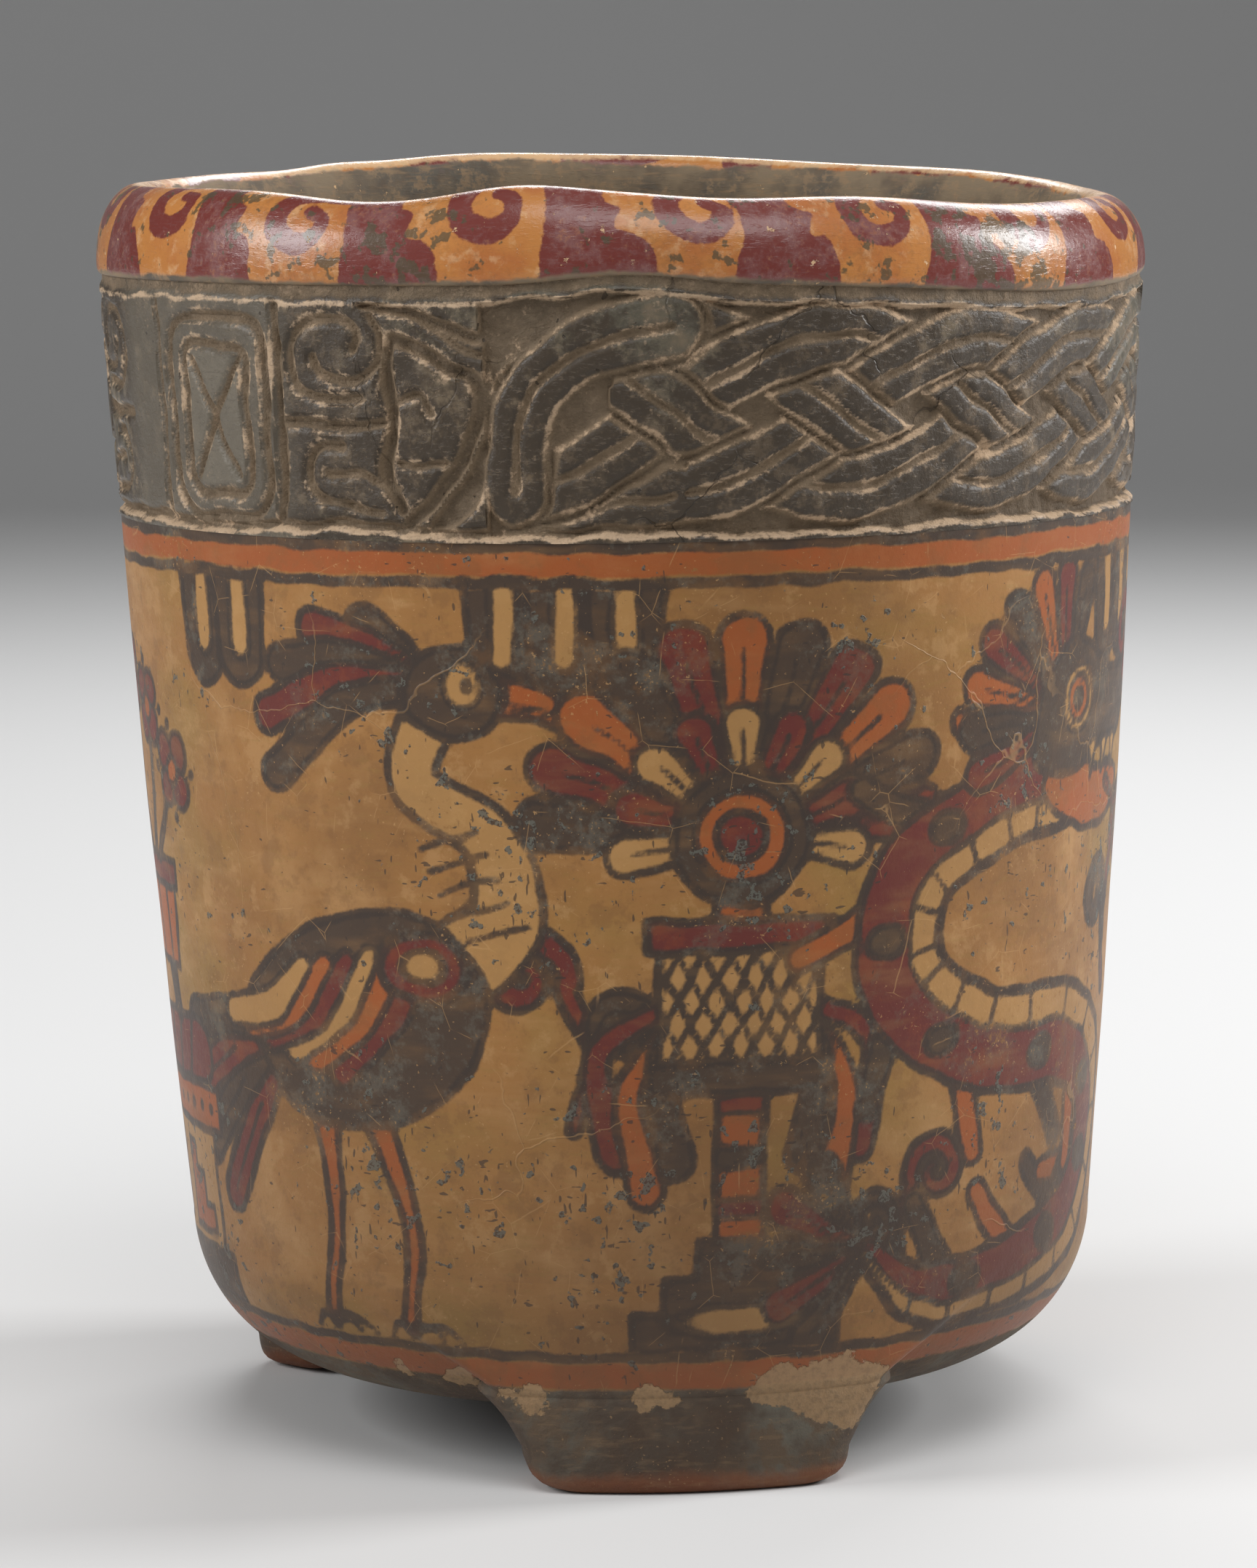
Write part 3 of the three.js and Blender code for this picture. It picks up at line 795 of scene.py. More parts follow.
def cloud_lobes(m, count, width):
    """Nested lobes that hang from the stripe above."""
    for index in range(count):
        x = (index - (count - 1) / 2) * 7.6
        m.lay(m.stroke([(x, 100), (x, 90)], [9.4, 8.6]), "umber", width)
        m.lay(m.stroke([(x, 100), (x, 91)], 3.2), "pale", width * 0.8)


# Where the figures stand round the wall: arc in millimetres at the frieze's mean radius. The volutes between
# them have an arc, a height, a size and a direction, and the hanging lobes an arc and a count.
FRIEZE = (
    (heron, -41, {"size": 0.97}),
    (standard, 9, {"size": 0.98}),
    (serpent, 55, {"size": 0.97}),
    (bench, 112, {}),
    (heron, 165, {"size": 0.97, "flip": True}),
    (standard, -191, {"size": 0.96}),
    (serpent, -139, {"size": 0.97, "flip": True}),
    (bench, -97, {"size": 0.98}),
)
FILLS = (
    (-13, 30, 0.9, False), (34, 6, 0.7, True), (84, 40, 0.95, True), (133, 8, 0.75, False),
    (-165, 34, 0.9, True),
)
LOBES = ((-64, 2), (-13, 3), (82, 3), (140, 3), (-165, 3))
BORDERS = (
    ("orange", SLIP_ENDS, 17.8), ("line", 17.9, 19.3),
    ("line", 119.1, 120.6), ("orange", 120.8, 123.8), ("line", 123.7, 126.0),
)


def paint_frieze(face, width):
    """Figures first and borders last, because the borders were ruled over the figures' edges."""
    for arc, count in LOBES:
        cloud_lobes(face.motif(arc, FRIEZE_GROUND), count, width)
    for arc, height, size, flip in FILLS:
        sprout(face.motif(arc, FRIEZE_GROUND + height, size, flip), width)
    for figure, arc, place in FRIEZE:
        figure(face.motif(arc, FRIEZE_GROUND, **place), width)
    for _, low, high in BORDERS:
        for field in face.fields.values():
            np.maximum(field, -np.maximum(low - face.height, face.height - high) - 0.1, out=field)
    for name, low, high in BORDERS:
        face.stripe(name, low, high)


# The carved band. Its front half is repeated on the back, half a turn on.

BAND_MIDDLE = (BAND_BOTTOM + BAND_TOP) / 2
PLAIT_START, PLAIT_END = -22.3, 99.6
PANEL_MIRROR = PLAIT_START + PLAIT_END
HALF_BAND = math.pi * SHOULDER_RADIUS
BORDER_INSET = 1.7
STRANDS = 4

# The falling strands are left out of the plait's first part. Two loose ends lead in there, each with the
# slope that says what it lies over.
LEAD_IN = 15.0
LOOSE_ENDS = (
    ([(-19.6, 131.2), (-18.8, 139.5), (-15.6, 145.4), (-9, 149.4), (0.5, 151.4)], 2.0),
    ([(-17.5, 127.4), (-8, 129.4), (0.5, 131)], 0.1),
)

# Left, right, low and high
CARTOUCHE = (-74.6, -55.2, 127.4, 153.2)
# Share of the painted slate-grey sheen in the upright strip beside each cartouche
SHEEN_BESIDE = 0.62

# Points and width of each cut round the cartouche, and in the panel between it and the plait
CARTOUCHE_GROOVES = (
    ([(-69.4, 147.6), (-65, 140.5), (-60.8, 132.4)], [0.9, 1.3, 0.9]),
    ([(-59.6, 148.2), (-65, 140), (-69.6, 132.2)], [1.0, 1.6, 1.2]),
    ([(-53, 127), (-52.6, 141), (-52.8, 155.6)], 1.5),
    ([(-77.6, 127), (-77.4, 155.4)], 1.1),
)
PANEL_GROOVES = (
    ([(-39.9, 143.6), (-46.7, 143.3), (-50, 145.6), (-50.3, 149.7), (-47.8, 152.7), (-42.9, 153.3),
      (-40.4, 151.5), (-40.8, 149.2)], 1.3),
    ([(-47, 148.6), (-45.4, 146.2), (-41.1, 145.6), (-37.4, 147.4), (-36.8, 151), (-38.2, 153.6)], 1.3),
    ([(-52, 140), (-44, 139.6), (-36.4, 140)], 1.7),
    ([(-43.2, 137.1), (-46.6, 136.6), (-48.6, 134.2), (-47.6, 131.2), (-43.1, 129.4), (-37.8, 128.6)], 1.4),
    ([(-45.6, 133.7), (-40, 133.4), (-35.1, 131.9)], 1.2),
    ([(-33, 154.2), (-27.6, 151), (-22.2, 147.9)], 1.2),
    ([(-35.4, 142.6), (-32, 143.8), (-30.4, 141.6)], 1.1),
    ([(-34.9, 135.4), (-32, 134.6), (-28.4, 135)], 1.1),
)
PANEL_RECESSES = (
    ([(-39.4, 155.2), (-34, 154.6), (-27, 152.2), (-20, 149.6)], 1.8),
    ([(-35, 150.6), (-30, 148.4), (-24.6, 145.8), (-24, 141), (-26.4, 135.4), (-30, 130.6), (-33.6, 127.6)],
     2.0),
    ([(-35.2, 150.4), (-36.2, 146), (-35.6, 140), (-36.6, 134), (-34.6, 129)], 1.8),
)
PANEL_WEDGE = [
    (-22.4, 147.4), (-20.6, 149.2), (-22.2, 140), (-24, 131), (-28, 127), (-31, 127.4), (-26, 134),
    (-22.8, 141),
]


def fall(distance, reach):
    """1 at no distance and less, 0 at the reach and beyond."""
    return np.clip(1 - distance / reach, 0, 1)


def ridge(distance, at, spread):
    """1 at one distance, and fading on both sides of it."""
    return np.exp(-(((distance - at) / spread) ** 2))


def strands_of(m, settings):
    """Every strand as its distance from the centre line, its slope and its place in the plait."""
    spacing, half = settings.strand_spacing, settings.strand_half_width
    period = STRANDS * spacing
    swing = (BAND_TOP - BAND_BOTTOM) / 2 - BORDER_INSET - half
    along = m.x - PLAIT_START
    strands = []
    for number in range(STRANDS):
        phase = FULL_TURN * (along - number * spacing) / period
        height = BAND_MIDDLE - swing * np.cos(phase)
        slope = FULL_TURN / period * swing * np.sin(phase)
        distance = np.abs(m.y - height) / np.hypot(1, slope)
        distance[(along < 0) | (m.x > PLAIT_END)] = FAR
        distance[(slope < 0.02) & (along < LEAD_IN)] = FAR
        strands.append((distance, slope, number))
    for points, slope in LOOSE_ENDS:
        index, gap = m.stroke(points, 2 * half)
        distance = np.full(len(m.x), FAR)
        distance[index] = np.maximum(gap + half, 0)
        strands.append((distance, np.full(len(m.x), slope), None))
    return strands


def lies_over(first, second):
    """Strands two apart cross in the middle row, falling one on top. Elsewhere the rising one is on top."""
    steeper = first[1] > second[1]
    if first[2] is not None and second[2] is not None and abs(first[2] - second[2]) == STRANDS // 2:
        return ~steeper
    return steeper


def plait_relief(m, settings):
    """Depth of cut, and rubbed edges that are also painted highlights, each as a share from 0 to 1: domed
    strands, grooved along the middle.
    """
    half = settings.strand_half_width
    strands = strands_of(m, settings)
    depth = np.ones(len(m.x))
    rubbed_highlight = np.zeros(len(m.x))
    for strand in strands:
        own = strand[0]
        shown = own < half
        cut = 0.14 * (own / half) ** 2 + fall(own - 0.2, 0.9) ** 1.3 * 0.6
        cut = np.maximum(cut, fall(half - own, 1.5) ** 1.3)
        # Pale lines along the strand's edges and its middle groove: rubbed clay, with painted highlight
        edge = ridge(half - own, 0.7, 0.5) + 0.9 * ridge(own, 0.6, 0.4)
        for other in strands:
            if other is strand:
                continue
            over = lies_over(other, strand)
            shown &= ~((other[0] < half) & over)
            beside = np.where(over, other[0] - half, FAR)
            cut = np.maximum(cut, fall(beside, 1.4) ** 1.2)
            edge = np.maximum(edge, 0.8 * ridge(beside, 0.5, 0.5))
        depth[shown] = cut[shown]
        rubbed_highlight[shown] = edge[shown]
    inside = (m.x > PLAIT_START - 1) & (m.x < PLAIT_END)
    return np.where(inside, depth, 0), np.where(inside, rubbed_highlight, 0)


def rounded_box(m, left, right, low, high, corner):
    """Signed distance to a rectangle with round corners."""
    index = np.arange(len(m.x))
    dx = np.abs(m.x - (left + right) / 2) - (right - left) / 2 + corner
    dy = np.abs(m.y - (low + high) / 2) - (high - low) / 2 + corner
    outside = np.hypot(np.maximum(dx, 0), np.maximum(dy, 0))
    return index, outside + np.minimum(np.maximum(dx, dy), 0) - corner


def carve_cartouche(m):
    """Two rounded frames round a cross, with an upright line on each side."""
    left, right, low, high = CARTOUCHE
    for inset, groove in ((0, 1.5), (3.4, 1.3)):
        corner = 4.6 - inset * 0.5
        index, gap = rounded_box(m, left + inset, right - inset, low + inset * 0.8, high - inset, corner)
        m.add((index, np.abs(gap) - groove / 2), "groove")
    for points, width in CARTOUCHE_GROOVES:
        m.add(m.stroke(points, width), "groove")


def slate_sheen_share(face):
    """Where slate grey is painted as a side lamp's sheen: fully in the cartouches' fields, partly in an
    upright strip round them.
    """
    total = np.zeros(len(face.arc))
    for half in range(2):
        m = face.motif(half * HALF_BAND)
        left, right, low, high = CARTOUCHE
        field = rounded_box(m, left + 4.2, right - 4.2, low + 3.6, high - 4.2, 2.6)[1]
        beside = np.maximum(left - 13 - m.x, m.x - right - 3)
        total = np.maximum(total, np.clip(0.5 - field / 0.8, 0, 1))
        total = np.maximum(total, SHEEN_BESIDE * np.clip(0.5 - beside / 6, 0, 1))
    return total


def carve_scroll_panel(m):
    """Volute, hooked tongue, rounded block and slanting bars between the upright line and the plait."""
    for layer, cuts in (("groove", PANEL_GROOVES), ("recess", PANEL_RECESSES)):
        for points, width in cuts:
            m.add(m.stroke(points, width), layer)
    m.add(m.region(PANEL_WEDGE), "recess")


def carve_band(face, settings):
    """Depth of the cuts in millimetres and as a share from 0 to 1, and how rubbed the edges are, which also
    sets painted highlights along the cuts and the ledges.
    """
    share = np.zeros(len(face.arc))
    rubbed_highlight = np.zeros(len(face.arc))
    for half in range(2):
        m = face.motif(half * HALF_BAND)
        depth, edge = plait_relief(m, settings)
        share, rubbed_highlight = np.maximum(share, depth), np.maximum(rubbed_highlight, edge)
        carve_cartouche(m)
        carve_scroll_panel(m)
        carve_scroll_panel(face.motif(half * HALF_BAND + PANEL_MIRROR, flip=True))
    groove, recess = face.fields["groove"], face.fields["recess"]
    share = np.maximum(share, np.clip(0.3 - groove / 1.1, 0, 1) * 0.85)
    share = np.maximum(share, np.clip(0.3 - recess / 0.9, 0, 1))
    rubbed_highlight = np.maximum(rubbed_highlight, 0.8 * ridge(groove, 0.2, 0.42))
    rubbed_highlight = np.maximum(rubbed_highlight, 0.9 * ridge(recess, 0.2, 0.5))
    rubbed_highlight *= 0.8 + 0.3 * ripple(face.azimuth, face.height, seed=35, turns=40, spacing=12)
    uneven = ripple(face.azimuth, face.height, seed=31, turns=14, spacing=60)
    low_edge = face.height - (BAND_BOTTOM + 0.55 + 0.3 * uneven)
    high_edge = (BAND_TOP - 1.9 + 0.35 * uneven) - face.height
    field = np.clip(low_edge / 0.5, 0, 1) * np.clip(high_edge / 0.5, 0, 1)
    share, rubbed_highlight = share * field, rubbed_highlight * field
    share = np.maximum(share, 0.75 * ridge(low_edge, 0.9, 0.7))
    share = np.maximum(share, 0.4 * np.clip(-high_edge / 0.8, 0, 1))
    # Pale lines along the lower and upper ledges: painted highlight, with rubbed clay
    rubbed_highlight = np.maximum(rubbed_highlight, 1.15 * ridge(low_edge, 0.1, 0.5))
    rubbed_highlight = np.maximum(rubbed_highlight, ridge(high_edge, 0.2, 0.5))
    grain = ripple(face.azimuth, face.height, seed=33, turns=160, spacing=3.4, count=10)
    depth = share * settings.depth * (1 + 0.12 * grain) + 0.05 * grain
    depth += 0.1 * ripple(face.azimuth, face.height, seed=34, turns=70, spacing=8)
    depth -= 0.3 * ridge(low_edge, -0.2, 0.6)
    return depth, share, np.clip(rubbed_highlight, 0, 1)


# The rim. One repeat of its pattern is drawn on this many millimetres, and starts this far before its place.

RIM_PITCH = 26.5
RIM_START = 3.4
RIM_HOOK = [
    (27, 15.4), (21.8, 15.6), (17.6, 14.4), (15.8, 11.4), (17, 8.3), (20.2, 7.1), (23, 8.6), (23.2, 11.2),
    (21, 12.2),
]
RIM_HOOK_WIDTHS = [2, 2.8, 3.4, 3.6, 3.4, 2.8, 2.3, 2]

# Lengths along the rim's profile: where the painted shade under the lip ends, the crest's middle, and where
# the inner slip sets in
UNDERLIP_SHADE_END = 0.9
CREST_LINE = 15.2
INNER_EDGE = (16.3, 17.1)


def paint_rim(face, repeats):
    """Stepped blocks and hooked volutes, repeated round the rim and each a little different."""
    draw = np.random.default_rng(17)
    pitch = FULL_TURN * face.mean_radius / repeats
    for number in range(repeats):
        lean, grow = draw.uniform(-0.9, 0.9), draw.uniform(0.9, 1.08)
        m = face.motif((number - repeats / 2) * pitch + lean - RIM_START, size=pitch / RIM_PITCH)
        outline = [
            (0, -2), (12 * grow, -2), (13.4 * grow, 3.2), (11.6, 6.4), (9.2, 7.4), (9.8, 10.4), (7.4, 12),
            (7, 17.5), (-0.8, 17.5), (0.4, 8),
        ]
        m.add(m.region(outline), "block")
        sag = draw.uniform(-0.8, 0.6)
        m.add(m.stroke([(x, y * grow + sag) for x, y in RIM_HOOK], RIM_HOOK_WIDTHS), "block")


# Shader nodes


class Value:
    """A socket of a node tree, so that shader maths reads as a plain expression."""

    def __init__(self, nodes, socket):
        self.nodes, self.socket = nodes, socket

    def maths(self, operation, *values):
        """Adds a Math node."""
        return self.nodes.node("ShaderNodeMath", {"operation": operation}, dict(enumerate(values)))

    def __add__(self, other):
        return self.maths("ADD", self, other)

    def __sub__(self, other):
        return self.maths("SUBTRACT", self, other)

    def __rsub__(self, other):
        return self.maths("SUBTRACT", other, self)

    def __mul__(self, other):
        return self.maths("MULTIPLY", self, other)

    def __pow__(self, other):
        return self.maths("POWER", self, other)

    __radd__, __rmul__ = __add__, __mul__

    def __abs__(self):
        return self.maths("ABSOLUTE", self)

    def largest(self, other):
        return self.maths("MAXIMUM", self, other)

    def rises(self, low, high):
        """0 below low, 1 above high, and a smooth step between them."""
        return self.nodes.node(
            "ShaderNodeMapRange", {"interpolation_type": "SMOOTHSTEP"},
            {"Value": self, "From Min": low, "From Max": high},
        )

    def falls(self, low, high):
        """1 below low, 0 above high, and a smooth step between them."""
        return 1 - self.rises(low, high)


class Nodes:
    """The node tree of a material or a world."""

    def __init__(self, owner):
        owner.use_nodes = True
        self.tree = owner.node_tree

    def node(self, kind, settings=None, inputs=None, output=0):
        """Adds a node: its settings first, then the values or links of its sockets."""
        made = self.tree.nodes.new(kind)
        for name, value in (settings or {}).items():
            setattr(made, name, value)
        self.feed(made, inputs or {})
        return Value(self, made.outputs[output])

    def feed(self, node, inputs):
        """Links a node's sockets or sets their values."""
        for name, value in inputs.items():
            socket = node.inputs[name]
            if isinstance(value, Value):
                self.tree.links.new(value.socket, socket)
            elif hasattr(value, "__len__") and socket.type == "RGBA":
                socket.default_value = (*value, 1)
            else:
                socket.default_value = value


class Finish(Nodes):
    """A material under construction, with its patterns measured in millimetres."""

    def __init__(self, name):
        self.material = bpy.data.materials.new(name)
        super().__init__(self.material)
        self.shader = self.tree.nodes["Principled BSDF"]
        self.place = self.node("ShaderNodeTexCoord", output="Object")
        self.height = self.node("ShaderNodeSeparateXYZ", inputs={0: self.place}, output="Z") * (1 / MM)

    def mix(self, share, first, second):
        """A colour between two others."""
        return self.node("ShaderNodeMix", {"data_type": "RGBA"}, {0: share, 6: first, 7: second}, output=2)

    def layered(self, colour, *layers):
        """A colour with others laid over it in turn, each by its share."""
        for share, paint in layers:
            colour = self.mix(share, colour, paint)
        return colour

    def scaled(self, seed, stretch=(1, 1, 1)):
        """The place on the piece, moved by a seed and stretched."""
        shift = (seed * 0.37, seed * 0.23, seed * 0.19)
        return self.node("ShaderNodeMapping", inputs={
            "Vector": self.place, "Location": shift, "Scale": stretch,
        })

    def noise(self, size, seed, detail=3.0, rough=0.55, stretch=(1, 1, 1)):
        """Clouds from 0 to 1, with a size in millimetres. A small stretch draws them out."""
        return self.node("ShaderNodeTexNoise", inputs={
            "Vector": self.scaled(seed, stretch), "Scale": 1 / (size * MM), "Detail": detail,
            "Roughness": rough,
        })

    def cracks(self, size, width, seed, stray=0.35):
        """A net of thin crooked lines, 1 on a line."""
        bend = self.node("ShaderNodeTexNoise", inputs={
            "Vector": self.scaled(seed), "Scale": 2.2 / (size * MM), "Detail": 4,
        }, output="Color")
        amount = self.node(
            "ShaderNodeVectorMath", {"operation": "SCALE"}, {0: bend, "Scale": stray * size * MM}
        )
        place = self.node("ShaderNodeVectorMath", {"operation": "ADD"}, {0: self.scaled(seed), 1: amount})
        edge = self.node("ShaderNodeTexVoronoi", {"feature": "DISTANCE_TO_EDGE"}, {
            "Vector": place, "Scale": 1 / (size * MM),
        })
        return edge.falls(0.2 * width / size, width / size)

    def attribute(self, name):
        """A number stored on the piece."""
        return self.node("ShaderNodeAttribute", {"attribute_name": name}, output="Fac")

    def finish(self, colour, roughness, relief, relief_depth, gloss=0.5):
        """Links what varies to the shader. Relief is in shares of its depth in millimetres."""
        bump = self.node("ShaderNodeBump", inputs={"Height": relief, "Distance": relief_depth * MM})
        self.feed(self.shader, {
            "Base Color": colour, "Roughness": roughness, "Normal": bump, "Specular IOR Level": gloss,
        })
        return self.material


def inner_slip(f, settings):
    """Colour of the slip inside the vessel, which is also laid under the rim as painted shade: smoky, scuffed
    and rubbed to the clay.
    """
    smoke = f.noise(12, 51, detail=4, rough=0.6)
    rubbing = f.noise(2.4, 52, detail=4, rough=0.7)
    scuffs = f.noise(1.2, 53, detail=3, stretch=(0.3, 0.3, 2))
    return f.layered(
        settings.inside,
        (smoke.rises(0.42, 0.66) * 0.8, settings.umber),
        ((smoke * 0.6 + rubbing * 0.4).rises(0.48, 0.62) * 0.5, settings.haze),
        ((rubbing * 0.8 + smoke * 0.2).rises(0.52, 0.62) * 0.6, settings.clay_tan),
        (scuffs.rises(0.52, 0.7) * 0.45, settings.clay_tan),
    )


def painted_slip(settings):
    """Burnished ochre slip with brushed figures, stains, root marks, wear, bare clay low down, and painted
    shade with dirt that darkens it towards the bottom.
    """
    if "painted_slip" in bpy.data.materials:
        return bpy.data.materials["painted_slip"]
    f = Finish("painted_slip")
    cloud = f.noise(42, 1)
    patch = f.noise(15, 2, detail=4, rough=0.62)
    mottle = f.noise(4.6, 3, detail=4, rough=0.65)
    grain = f.noise(0.9, 4, detail=4, rough=0.7)
    streak = f.noise(3.2, 5, detail=3, stretch=(0.25, 0.25, 1))
    daub = f.noise(7, 18, detail=5, rough=0.7)
    brushing = f.noise(1.1, 19, detail=3, stretch=(0.3, 0.3, 1.6)).rises(0.52, 0.72)
    colour = f.layered(
        settings.ground,
        (cloud.rises(0.4, 0.68) * 0.5, settings.ground_dark),
        (patch.rises(0.5, 0.74) * 0.5, settings.ground_dark),
        (patch.falls(0.3, 0.48) * 0.35, settings.ground_light),
        (f.noise(34, 17, detail=3).rises(0.52, 0.7) * 0.6, settings.ground_olive),
        (streak.rises(0.5, 0.78) * 0.3, settings.ground_light),
        (grain.rises(0.54, 0.72) * 0.2, settings.ground_dark),
        (daub.rises(0.52, 0.62) * 0.4, settings.ground_dark),
        (daub.falls(0.36, 0.46) * 0.35, settings.ground_light),
        (brushing * 0.25, settings.ground_olive),
    )

    wobble = (mottle - 0.5) * 0.6 + (grain - 0.5) * 0.5
    rubbed = ((grain - 0.5) * 0.8 + (patch - 0.5) * 0.8 + (mottle - 0.5) * 0.5).rises(0.16, 0.3)
    haze = ((mottle - 0.5) + (patch - 0.5) * 0.9 + (grain - 0.5) * 0.6).rises(0.02, 0.22)
    worn = {
        "umber": [(haze * 0.55, settings.haze)],
        "maroon": [(haze * 0.3, settings.haze), (daub.rises(0.5, 0.62) * 0.2, settings.orange)],
        "orange": [(daub.rises(0.48, 0.6) * 0.3, settings.ground_dark)],
        "pale": [],
        "line": [
            (haze * 0.55, settings.haze),
            ((patch * 0.6 + daub * 0.4).rises(0.5, 0.6) * 0.4, settings.ground_dark),
        ],
    }
    for name, cover in COVER.items():
        there = (f.attribute(name) + wobble).falls(-0.24, 0.24)
        thin = there * (1 - rubbed * 0.75) * (1 - streak.rises(0.45, 0.8) * 0.25)
        colour = f.mix(thin * cover, colour, f.layered(getattr(settings, name), *worn[name]))

    faded = ((cloud - 0.5) * 1.2 + (mottle - 0.5) * 0.7).rises(0.02, 0.3)
    cluster = (f.noise(26, 6, detail=2) - 0.5) * 0.6
    blots = (f.noise(2.0, 7, detail=3, rough=0.5) + cluster).rises(0.68, 0.71)
    blot = f.mix(f.noise(0.35, 15, detail=2).rises(0.5, 0.58), settings.haze, settings.line)
    upright = f.noise(0.7, 8, detail=1, stretch=(1, 1, 0.3))
    dashes = upright.largest(f.noise(0.7, 16, detail=1, stretch=(0.4, 0.4, 1))) + cluster * 0.5
    chips = (f.noise(2.6, 9, detail=5, rough=0.75) - f.noise(60, 10, detail=1) * 0.2).rises(0.585, 0.605)
    flecks = (f.noise(0.5, 11, detail=2) + (patch - 0.5) * 0.35).rises(0.69, 0.74)
    cracks = f.cracks(34, 0.16, 13) * f.noise(46, 14, detail=2).rises(0.54, 0.64)
    scratches = f.cracks(8, 0.07, 45, stray=0.06) * f.noise(6, 46, detail=2).rises(0.52, 0.6)
    # Darker towards the bottom: partly painted shade, partly dirt
    low_shade_and_dirt = f.height.falls(14, 76) * (0.6 + cloud * 0.8)
    colour = f.layered(
        colour,
        (faded * 0.18, settings.ground_dark),
        (blots * 0.9, blot),
        (dashes.rises(0.72, 0.76) * 0.75, settings.line),
        (chips * 0.6, settings.ground_light),
        (flecks * 0.5, settings.ground_light),
        (cracks * 0.35, settings.ground_light),
        (scratches * 0.4, settings.ground_light),
        (low_shade_and_dirt * 0.45, settings.umber),
    )

    bare = (f.height - SLIP_ENDS + (mottle - 0.5) * 1.6).falls(-0.3, 0.3)
    clay = f.layered(
        settings.clay,
        (mottle.rises(0.42, 0.6) * 0.8, settings.haze),
        ((patch * 0.5 + cloud * 0.2 + mottle * 0.3).rises(0.44, 0.56) * 0.85, settings.umber),
        ((f.height + mottle * 2 - patch * 2).falls(1.4, 3.6) * 0.32, settings.orange),
        (brushing * 0.18, settings.clay_tan),
        (flecks * 0.6, settings.clay_tan),
    )
    ragged = f.attribute("flaked") + (mottle - 0.5) * 6 + (patch - 0.5) * 4 + (grain - 0.5) * 1.5
    tan = ragged.falls(-0.2, 0.2)
    inside = f.attribute("inside")
    colour = f.layered(
        colour,
        (bare * 0.96, clay),
        (tan * 0.9, f.mix(grain.rises(0.4, 0.7) * 0.4, settings.clay_tan, settings.clay)),
        (inside, inner_slip(f, settings)),
    )
    roughness = 0.4 + grain * 0.14 + bare * 0.3 + inside * 0.3 + chips * 0.2 + rubbed * 0.1 - streak * 0.06
    relief = grain * 0.35 + mottle * 0.5 + streak * 0.4 + cracks * 0.35 - chips * 0.5 + blots * 0.2
    return f.finish(colour, roughness, relief + bare * grain * 0.9 - tan * 0.9, 0.16, gloss=0.32)


def carved_slip(settings, inner):
    """Dark burnished slip left standing between cuts that show the clay, with painted highlight on the pale
    edges, painted shade in the deepest cuts and a painted slate-grey sheen.
    """
    f = Finish("carved_slip")
    cloud = f.noise(36, 21, detail=2)
    patch = f.noise(11, 22, detail=4, rough=0.6)
    mottle = f.noise(3.2, 23, detail=4, rough=0.65)
    grain = f.noise(0.7, 24, detail=4, rough=0.7)
    streak = f.noise(2.2, 25, detail=3, stretch=(0.3, 0.3, 1))
    film = (cloud - 0.5) * 1.6 + (patch - 0.5) * 1.3 + (mottle - 0.5) * 1.2 + (grain - 0.5) * 0.4
    scuffs = f.noise(1.5, 29, detail=4, rough=0.7, stretch=(1, 1, 3)).rises(0.54, 0.7)
    slip = f.layered(
        settings.slip,
        (film.rises(0.02, 0.4) * 0.85, settings.cool_slip),
        ((patch * 0.6 + mottle * 0.4).rises(0.5, 0.66) * 0.5, settings.cut),
        ((mottle * 0.6 + grain * 0.4).rises(0.5, 0.62) * 0.25, settings.cut),
        (scuffs * 0.4, settings.cut),
        # Painted reflection: a side lamp's sheen, laid as slate grey
        (f.attribute("slate_sheen") * (0.6 + patch * 0.5), settings.slate_sheen),
    )
    cut = f.attribute("cut") + (mottle - 0.5) * 0.5 + (grain - 0.5) * 0.3
    bared = cut.rises(0.12, 0.45)
    # The clay in the cuts, with the deepest cuts darkened towards the slip as painted shade
    clay = f.layered(
        settings.cut,
        ((patch * 0.5 + grain * 0.5).rises(0.42, 0.62) * 0.45, settings.slip),
        ((grain * 0.6 + mottle * 0.4).rises(0.5, 0.66) * 0.4, settings.edge),
        (cut.rises(0.6, 1.05) * 0.4, settings.slip),
    )
    # Pale edges of the cuts and ledges: rubbed clay, with painted highlight
    rubbed_highlight = f.attribute("rubbed_highlight") * (0.5 + patch * 0.5) + (mottle - 0.5) * 1.1 + (grain - 0.5) * 0.9
    edge = rubbed_highlight.rises(0.38, 0.74)
    dust = (f.noise(1.2, 26, detail=4, rough=0.7) + (patch - 0.5) * 0.6).rises(0.64, 0.74)
    cracks = f.cracks(18, 0.14, 27) * f.noise(24, 28, detail=2).rises(0.54, 0.64)
    pits = (f.noise(1.3, 30, detail=1) + (cloud - 0.5) * 0.3).rises(0.77, 0.8)
    inside = f.attribute("inside")
    colour = f.layered(
        slip,
        (bared * 0.85, clay),
        (edge * 0.9, settings.edge),
        (dust * 0.3, settings.edge),
        (cracks * 0.6, settings.slip),
        (pits * 0.8, settings.slip),
        (inside, inner_slip(f, inner)),
    )
    roughness = 0.36 + grain * 0.16 + bared * 0.3 + edge * 0.12 + inside * 0.25 - cloud * 0.08
    relief = grain * 0.5 + mottle * 0.5 + bared * grain * 0.9 + streak * 0.5 - cracks * 0.8
    return f.finish(colour, roughness, relief - pits * 1.4 + scuffs * 0.3, 0.26, gloss=0.4)


